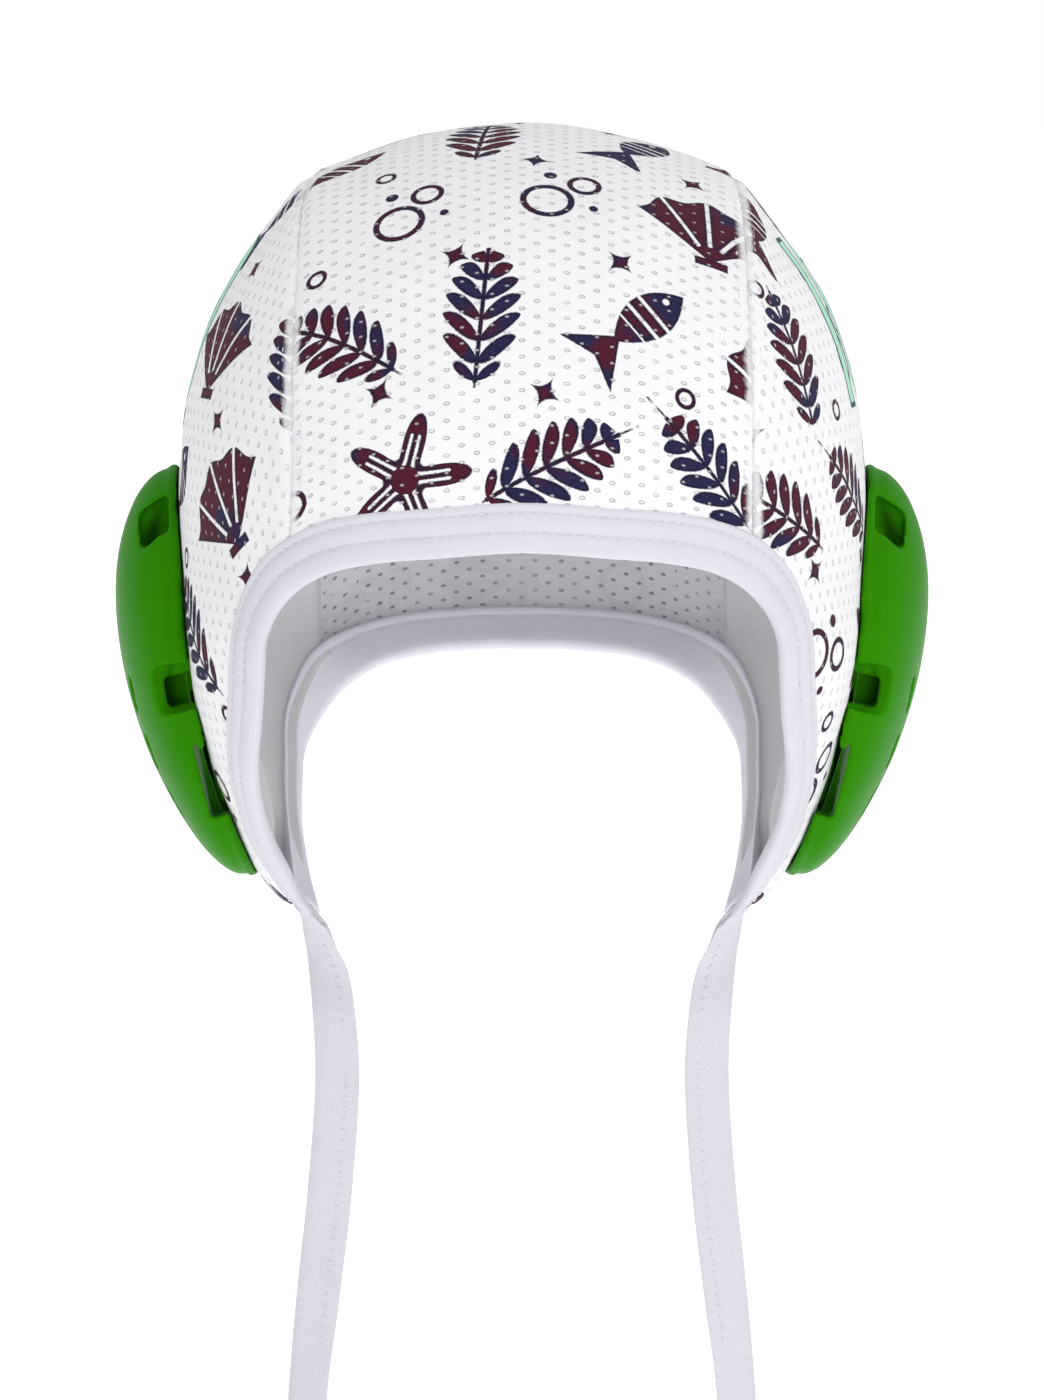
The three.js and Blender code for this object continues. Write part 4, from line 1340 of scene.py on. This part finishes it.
class CAP_OT_stitches(bpy.types.Operator):
    """Sew the bindings, the ties and the panel seams with rows of stitches"""

    bl_idname = "cap.stitches"
    bl_label = "Stitches"

    def execute(self, context):
        tape = context.scene.cap_tape
        finish = thread("sewing_thread", tape.thread_colour)
        outer = GROOVE_HEIGHT * MM
        for word, rim in (("face", FACE), ("neck", NECK)):
            made = bmesh.new()
            for groove in RIBS["start"][1:]:
                points, outs = rim_row(rim, groove * MM, outer)
                stitch_row(made, points, outs, tape, -0.00008)
            points, outs = rim_row(rim, INNER_ROW_ACROSS, INNER_ROW_HEIGHT)
            stitch_row(made, points, outs * -1, tape, -0.0001)
            new_stitches(f"stitches_{word}", made, finish)
        route, wide, thick = tie_route()
        line = (route + wide * TIE_ROW_ACROSS + thick * TIE_ROW_HEIGHT)[TIE_ROW_START:]
        out = thick[TIE_ROW_START:]
        for side, word in ((1, "right"), (-1, "left")):
            made = bmesh.new()
            flip = np.array([side, 1, 1])
            stitch_row(made, line * flip, out * flip, tape)
            stitch_row(made, (line - out * TIE_ROW_BACK) * flip, out * -1 * flip, tape)
            new_stitches(f"stitches_tie_{word}", made, finish)
        made = bmesh.new()
        angles = np.linspace(0.25, math.pi - 0.12, SEAM_SAMPLES)
        for side in (-1, 1):
            for aside in (-SEAM_ROW_ASIDE, SEAM_ROW_ASIDE):
                points = cloth_point(np.ones(SEAM_SAMPLES), angles, aside)
                outs = outward(points)
                points = lifted(points, np.full(SEAM_SAMPLES, CLOTH + 0.00005))
                flip = np.array([side, 1, 1])
                stitch_row(made, points * flip, outs * flip, tape, 0.0001)
        new_stitches("stitches_seams", made, finish)
        return {"FINISHED"}


def guard_point(up, along, height):
    """Points of the +X guard from their place over the ear and their height above the head form."""
    foot = side_point(EAR_Y + along, EAR_Z + up)
    t = np.clip((height - CLOTH - LIP_HEIGHT) / (GUARD_STAND - CLOTH - LIP_HEIGHT), 0, 1)
    share = soft_step(t)[..., None]
    axis = np.array([math.cos(GUARD_TILT), 0, -math.sin(GUARD_TILT)])
    lean = 1 + share[..., 0] * GUARD_LEAN * up / (GUARD_LENGTH / 2)
    way = unit(outward(foot) * (1 - share) + axis * share)
    return foot + way * (height * lean)[..., None]


def dome(radius, top, foot):
    """Dome profile from the middle out to the foot: radii and heights."""
    turn = np.linspace(0, math.pi / 2, DOME_STEPS + 1)
    out = radius * np.sin(turn) ** (2 / GUARD_FULLNESS)
    up = foot + (top - foot) * np.clip(np.cos(turn), 0, 1) ** (2 / GUARD_FULLNESS)
    return list(zip(out, up))


def turned_guard(profile):
    """Profile spun about the guard's middle, made oval and laid on the side of the head form."""
    made = bmesh.new()
    corners = [made.verts.new((radius, 0, height)) for radius, height in profile]
    for first, second in zip(corners, corners[1:]):
        made.edges.new((first, second))
    bmesh.ops.spin(
        made,
        geom=made.verts[:] + made.edges[:],
        axis=(0, 0, 1),
        cent=(0, 0, 0),
        steps=GUARD_STEPS,
        angle=2 * math.pi,
        use_merge=True,
    )
    bmesh.ops.remove_doubles(made, verts=made.verts, dist=0.000002)
    places = np.array([vertex.co for vertex in made.verts])
    squeeze = GUARD_BREADTH / GUARD_LENGTH
    points = guard_point(places[:, 0], places[:, 1] * squeeze, places[:, 2])
    for vertex, point in zip(made.verts, points):
        vertex.co = point
    bmesh.ops.recalc_face_normals(made, faces=made.faces)
    return made


# Recesses in each flank: up is a share of half the guard's length and out of its stand; wide, high and deep
# are metres across the flank, up it and into it; turn and slant are degrees that the recess is turned about
# the way into it and that its outer end drops
RECESSES = [
    {"up": 0.75, "out": 0.39, "wide": 0.0076, "high": 0.0088, "deep": 0.0118, "turn": 5, "slant": 27,
     "corner": 0.0009},
    {"up": -0.01, "out": 0.3, "wide": 0.0116, "high": 0.0118, "deep": 0.0066, "turn": 9, "slant": 2,
     "corner": 0.0024},
    {"up": -0.03, "out": 0.21, "wide": 0.0082, "high": 0.0074, "deep": 0.016, "turn": 9, "slant": 4,
     "corner": 0.0006},
]

# Notch in each flank, open to the edge of the guard's base, in the same columns
NOTCH = {"up": -0.43, "out": 0.04, "wide": 0.0066, "high": 0.0232, "deep": 0.017, "turn": 12, "slant": 4,
         "corner": 0.0004}
SLOTS = [
    {"up": -0.07, "along": 0.5, "long": 0.009},
    {"up": -0.35, "along": 0.46, "long": 0.009},
    {"up": -0.59, "along": 0.38, "long": 0.009},
    {"up": -0.77, "along": 0.15, "long": 0.007},
]
SLOT_WIDTH = 0.0032
SLOT_ROUNDING = 0.49
SLOT_TURN = math.radians(30)


def block(made, size, corner, place):
    """Adds a box with rounded edges at a place."""
    held = bmesh.ops.create_cube(made, size=1)["verts"]
    bmesh.ops.scale(made, verts=held, vec=size)
    edges = {edge for vertex in held for edge in vertex.link_edges}
    rounded = bmesh.ops.bevel(
        made,
        geom=list(edges),
        offset=corner,
        offset_type="OFFSET",
        affect="EDGES",
        segments=3,
        profile=0.5,
        material=-1,
        clamp_overlap=True,
    )
    verts = {vertex for face in rounded["faces"] for vertex in face.verts}
    linked = set(verts)
    waiting = list(verts)
    while waiting:
        vertex = waiting.pop()
        for edge in vertex.link_edges:
            other = edge.other_vert(vertex)
            if other not in linked:
                linked.add(other)
                waiting.append(other)
    bmesh.ops.transform(made, matrix=place, verts=list(linked))


def flank_block(made, row, side, growth):
    """Adds a recess's box on the front or back flank, grown by a wall."""
    lift = row["up"] * GUARD_LENGTH / 2
    half = GUARD_BREADTH / 2 * math.sqrt(1 - row["up"] ** 2)
    flank = half * (1 - row["out"] ** GUARD_FULLNESS) ** (1 / GUARD_FULLNESS)
    inward = flank - row["deep"] / 2 + GUARD_WALL
    middle = guard_point(np.array([lift]), np.array([side * inward]), np.array([row["out"] * GUARD_STAND]))[0]
    slant = Matrix.Identity(4)
    slant[2][0] = -math.tan(math.radians(row["slant"]))
    place = Matrix.Translation(Vector(middle) - Vector((0, side * growth / 2, 0)))
    size = (row["wide"] + 2 * growth, row["deep"] + growth, row["high"] + 2 * growth)
    turn = Matrix.Rotation(math.radians(row["turn"]), 4, "Y")
    block(made, size, row["corner"] + growth / 3, place @ turn @ slant)


def slot_blocks(made, side):
    """Adds the boxes of the slots through a guard's outer face."""
    for row in SLOTS:
        lift = row["up"] * GUARD_LENGTH / 2
        aside = side * row["along"] * GUARD_BREADTH / 2
        height = GUARD_STAND * math.sqrt(max(0, 1 - row["up"] ** 2 - row["along"] ** 2))
        middle = guard_point(np.array([lift]), np.array([aside]), np.array([height]))[0]
        turn = Matrix.Rotation(GUARD_TILT, 4, "Y") @ Matrix.Rotation(-side * row["along"] * SLOT_TURN, 4, "X")
        size = (GUARD_STAND, SLOT_WIDTH, row["long"])
        block(made, size, SLOT_WIDTH * SLOT_ROUNDING, Matrix.Translation(middle) @ turn)


def tool_object(name, made):
    mesh = bpy.data.meshes.new(name)
    made.to_mesh(mesh)
    made.free()
    tool = bpy.data.objects.new(name, mesh)
    bpy.context.scene.collection.objects.link(tool)
    return tool


def carve(target, tool, operation):
    change = target.modifiers.new(tool.name, "BOOLEAN")
    change.object = tool
    change.operation = operation
    change.solver = "EXACT"
    change.use_self = True


def settled_mesh(target, name):
    """Mesh of an object with its modifiers applied."""
    bpy.context.view_layer.update()
    depsgraph = bpy.context.evaluated_depsgraph_get()
    mesh = bpy.data.meshes.new_from_object(target.evaluated_get(depsgraph))
    mesh.name = name
    return mesh


def moulded(target, name, settings):
    """Makes one even skin of an object's closed parts."""
    remesh = target.modifiers.new(name, "REMESH")
    remesh.mode = "VOXEL"
    remesh.voxel_size = settings.voxel
    remesh.use_smooth_shade = True


def guard_mesh(settings):
    """The +X guard: a hollow dome with recesses, slots, a lip and a grip through the cloth."""
    radius = GUARD_LENGTH / 2
    lip_top = SEAT + LIP_HEIGHT
    behind = -LINING_DROP - LINING - GUARD_GAP
    waist = radius - WAIST_INSET
    flange = radius - FLANGE_INSET
    cup = waist - GUARD_WALL
    outer = dome(radius - LIP_INSET, GUARD_STAND, lip_top)
    inner = dome(radius - LIP_INSET - GUARD_WALL, GUARD_STAND - GUARD_WALL, lip_top)
    lip = [(radius, lip_top), (radius, SEAT)]
    back = behind - FLANGE_THICKNESS
    grip = [(waist, SEAT), (waist, behind), (flange, behind), (flange, back), (cup, back), (cup, lip_top)]
    base = [(radius * share, SEAT + GUARD_GAP) for share in (0.8, 0.6, 0.4, 0.2, 0)]
    above = [(0, GUARD_STAND), (radius * 1.1, GUARD_STAND), (radius * 1.1, CLOTH), (0, CLOTH)]
    shell = tool_object("guard_shell", turned_guard(outer + lip + grip + inner[::-1]))
    under = dome(radius - LIP_INSET - WALL_REST, GUARD_STAND - WALL_REST, lip_top - WALL_REST)
    inside_lip = [(radius - WALL_REST, lip_top - WALL_REST), (radius - WALL_REST, SEAT + GUARD_GAP)]
    full = tool_object("guard_full", turned_guard(under + inside_lip + base))
    over_cloth = tool_object("guard_over_cloth", turned_guard(above))
    walls, pockets, notches = bmesh.new(), bmesh.new(), bmesh.new()
    for side in (-1, 1):
        for row in RECESSES:
            flank_block(walls, row, side, GUARD_WALL)
            flank_block(pockets, row, side, 0)
        slot_blocks(pockets, side)
        flank_block(walls, NOTCH, side, GUARD_WALL)
        flank_block(notches, NOTCH, side, 0)
    wall_tool = tool_object("guard_walls", walls)
    pocket_tool = tool_object("guard_pockets", pockets)
    notch_tool = tool_object("guard_notches", notches)
    for tool, limit in ((wall_tool, full), (notch_tool, over_cloth)):
        carve(tool, limit, "INTERSECT")
        tool.data = settled_mesh(tool, tool.name + "_cut")
        tool.modifiers.clear()
    joined = bmesh.new()
    joined.from_mesh(shell.data)
    joined.from_mesh(wall_tool.data)
    joined.to_mesh(shell.data)
    joined.free()
    moulded(shell, "Walls", settings)
    carve(shell, pocket_tool, "DIFFERENCE")
    carve(shell, notch_tool, "DIFFERENCE")
    moulded(shell, "Moulding", settings)
    soften = shell.modifiers.new("Soft edges", "SMOOTH")
    soften.factor = 0.5
    soften.iterations = settings.soften
    mesh = settled_mesh(shell, "ear_shell_right")
    # Depth of each point under the outer skin, which the guard's material turns into painted shade in the
    # recesses
    skin = turned_guard(outer + lip + base)
    tree = BVHTree.FromBMesh(skin)
    skin.free()
    depths = [tree.find_nearest(vertex.co)[3] / MM for vertex in mesh.vertices]
    mesh.attributes.new(RECESS_NAME, "FLOAT", "POINT").data.foreach_set("value", depths)
    for tool in (shell, full, over_cloth, wall_tool, pocket_tool, notch_tool):
        bpy.data.objects.remove(tool)
    return mesh


class CAP_OT_ear_guards(bpy.types.Operator):
    """Make the two moulded ear guards"""

    bl_idname = "cap.ear_guards"
    bl_label = "Ear guards"

    def execute(self, context):
        settings = context.scene.cap_guard
        finish = moulded_plastic("guard_green", settings)
        right = guard_mesh(settings)
        if len(right.polygons) < 1000:
            raise RuntimeError("the ear guard came out without its surface")
        left = right.copy()
        left.name = "ear_shell_left"
        left.transform(Matrix.Diagonal((-1, 1, 1, 1)))
        left.flip_normals()
        for mesh, word in ((right, "right"), (left, "left")):
            new_object(f"ear_shell_{word}", mesh, [finish], [f"ear_guard_{word}"])
        return {"FINISHED"}


def aimed(holder, place, target):
    """Puts a camera or lamp at a place and turns it to a target."""
    holder.location = place
    way = Vector(target) - Vector(place)
    holder.rotation_euler = way.to_track_quat("-Z", "Y").to_euler()
    bpy.context.scene.collection.objects.link(holder)


class CAP_OT_studio(bpy.types.Operator):
    """Make the camera, the pale floor and the soft light"""

    bl_idname = "cap.studio"
    bl_label = "Studio"

    def execute(self, context):
        settings = context.scene.cap_studio
        target = Vector((0, 0, settings.target_height))
        back = Vector((0, -math.cos(settings.camera_elevation), math.sin(settings.camera_elevation)))
        lens = bpy.data.cameras.new("camera")
        lens.sensor_width = 36
        lens.lens = lens.sensor_width * settings.camera_distance / settings.view_height
        lens.clip_start = 0.05
        camera = bpy.data.objects.new("camera", lens)
        aimed(camera, target + back * settings.camera_distance, target)
        context.scene.camera = camera
        made = bmesh.new()
        bmesh.ops.create_grid(made, x_segments=8, y_segments=8, size=30)
        bmesh.ops.translate(made, verts=made.verts, vec=(0, 0, settings.floor_height))
        mesh = bpy.data.meshes.new("floor")
        made.to_mesh(mesh)
        made.free()
        mesh.materials.append(floor_finish("floor_white", (0.96, 0.96, 0.96, 1)))
        floor = bpy.data.objects.new("floor", mesh)
        context.scene.collection.objects.link(floor)
        lamps = (
            ("key_lamp", (0.65, -1.1, 1.85), 1.4, settings.key),
            ("fill_lamp", (0.6, -1.95, -0.7), 1.8, settings.fill),
        )
        for name, place, size, power in lamps:
            lamp = bpy.data.lights.new(name, "AREA")
            lamp.shape = "DISK"
            lamp.size = size
            lamp.energy = power
            aimed(bpy.data.objects.new(name, lamp), place, target)
        world = bpy.data.worlds.new("soft_light")
        world.use_nodes = True
        sky = world.node_tree.nodes["Background"]
        sky.inputs["Color"].default_value = (1, 1, 1, 1)
        seen = world.node_tree.nodes.new("ShaderNodeLightPath")
        bright = world.node_tree.nodes.new("ShaderNodeMapRange")
        bright.inputs["To Min"].default_value = settings.sky
        bright.inputs["To Max"].default_value = 1
        world.node_tree.links.new(seen.outputs["Is Camera Ray"], bright.inputs["Value"])
        world.node_tree.links.new(bright.outputs["Result"], sky.inputs["Strength"])
        context.scene.world = world
        context.scene.view_settings.view_transform = "Standard"
        return {"FINISHED"}


SETTINGS = (
    ("cap_cloth", CapClothSettings),
    ("cap_tape", CapTapeSettings),
    ("cap_guard", CapGuardSettings),
    ("cap_studio", CapStudioSettings),
)
OPERATORS = (
    CAP_OT_studio,
    CAP_OT_ties,
    CAP_OT_bindings,
    CAP_OT_center_panel,
    CAP_OT_side_panels,
    CAP_OT_linings,
    CAP_OT_stitches,
    CAP_OT_ear_guards,
)


class CAP_PT_panel(bpy.types.Panel):
    """Sidebar panel that lists the cap's pieces"""

    bl_idname = "CAP_PT_panel"
    bl_label = "Water polo cap"
    bl_space_type = "VIEW_3D"
    bl_region_type = "UI"
    bl_category = "Cap"

    def draw(self, context):
        for operator in OPERATORS:
            self.layout.operator(operator.bl_idname)
        for name, group in SETTINGS:
            box = self.layout.box()
            box.label(text=group.__doc__)
            for key in group.__annotations__:
                box.prop(getattr(context.scene, name), key)


def register():
    for name, group in SETTINGS:
        bpy.utils.register_class(group)
        setattr(bpy.types.Scene, name, bpy.props.PointerProperty(type=group))
    for operator in OPERATORS:
        bpy.utils.register_class(operator)
    bpy.utils.register_class(CAP_PT_panel)


def unregister():
    bpy.utils.unregister_class(CAP_PT_panel)
    for operator in reversed(OPERATORS):
        bpy.utils.unregister_class(operator)
    for name, group in reversed(SETTINGS):
        delattr(bpy.types.Scene, name)
        bpy.utils.unregister_class(group)


def main():
    register()
    bpy.ops.cap.studio()
    bpy.ops.cap.ties()
    bpy.ops.cap.bindings()
    bpy.ops.cap.center_panel()
    bpy.ops.cap.side_panels()
    bpy.ops.cap.linings()
    bpy.ops.cap.stitches()
    bpy.ops.cap.ear_guards()


if __name__ == "__main__":
    main()
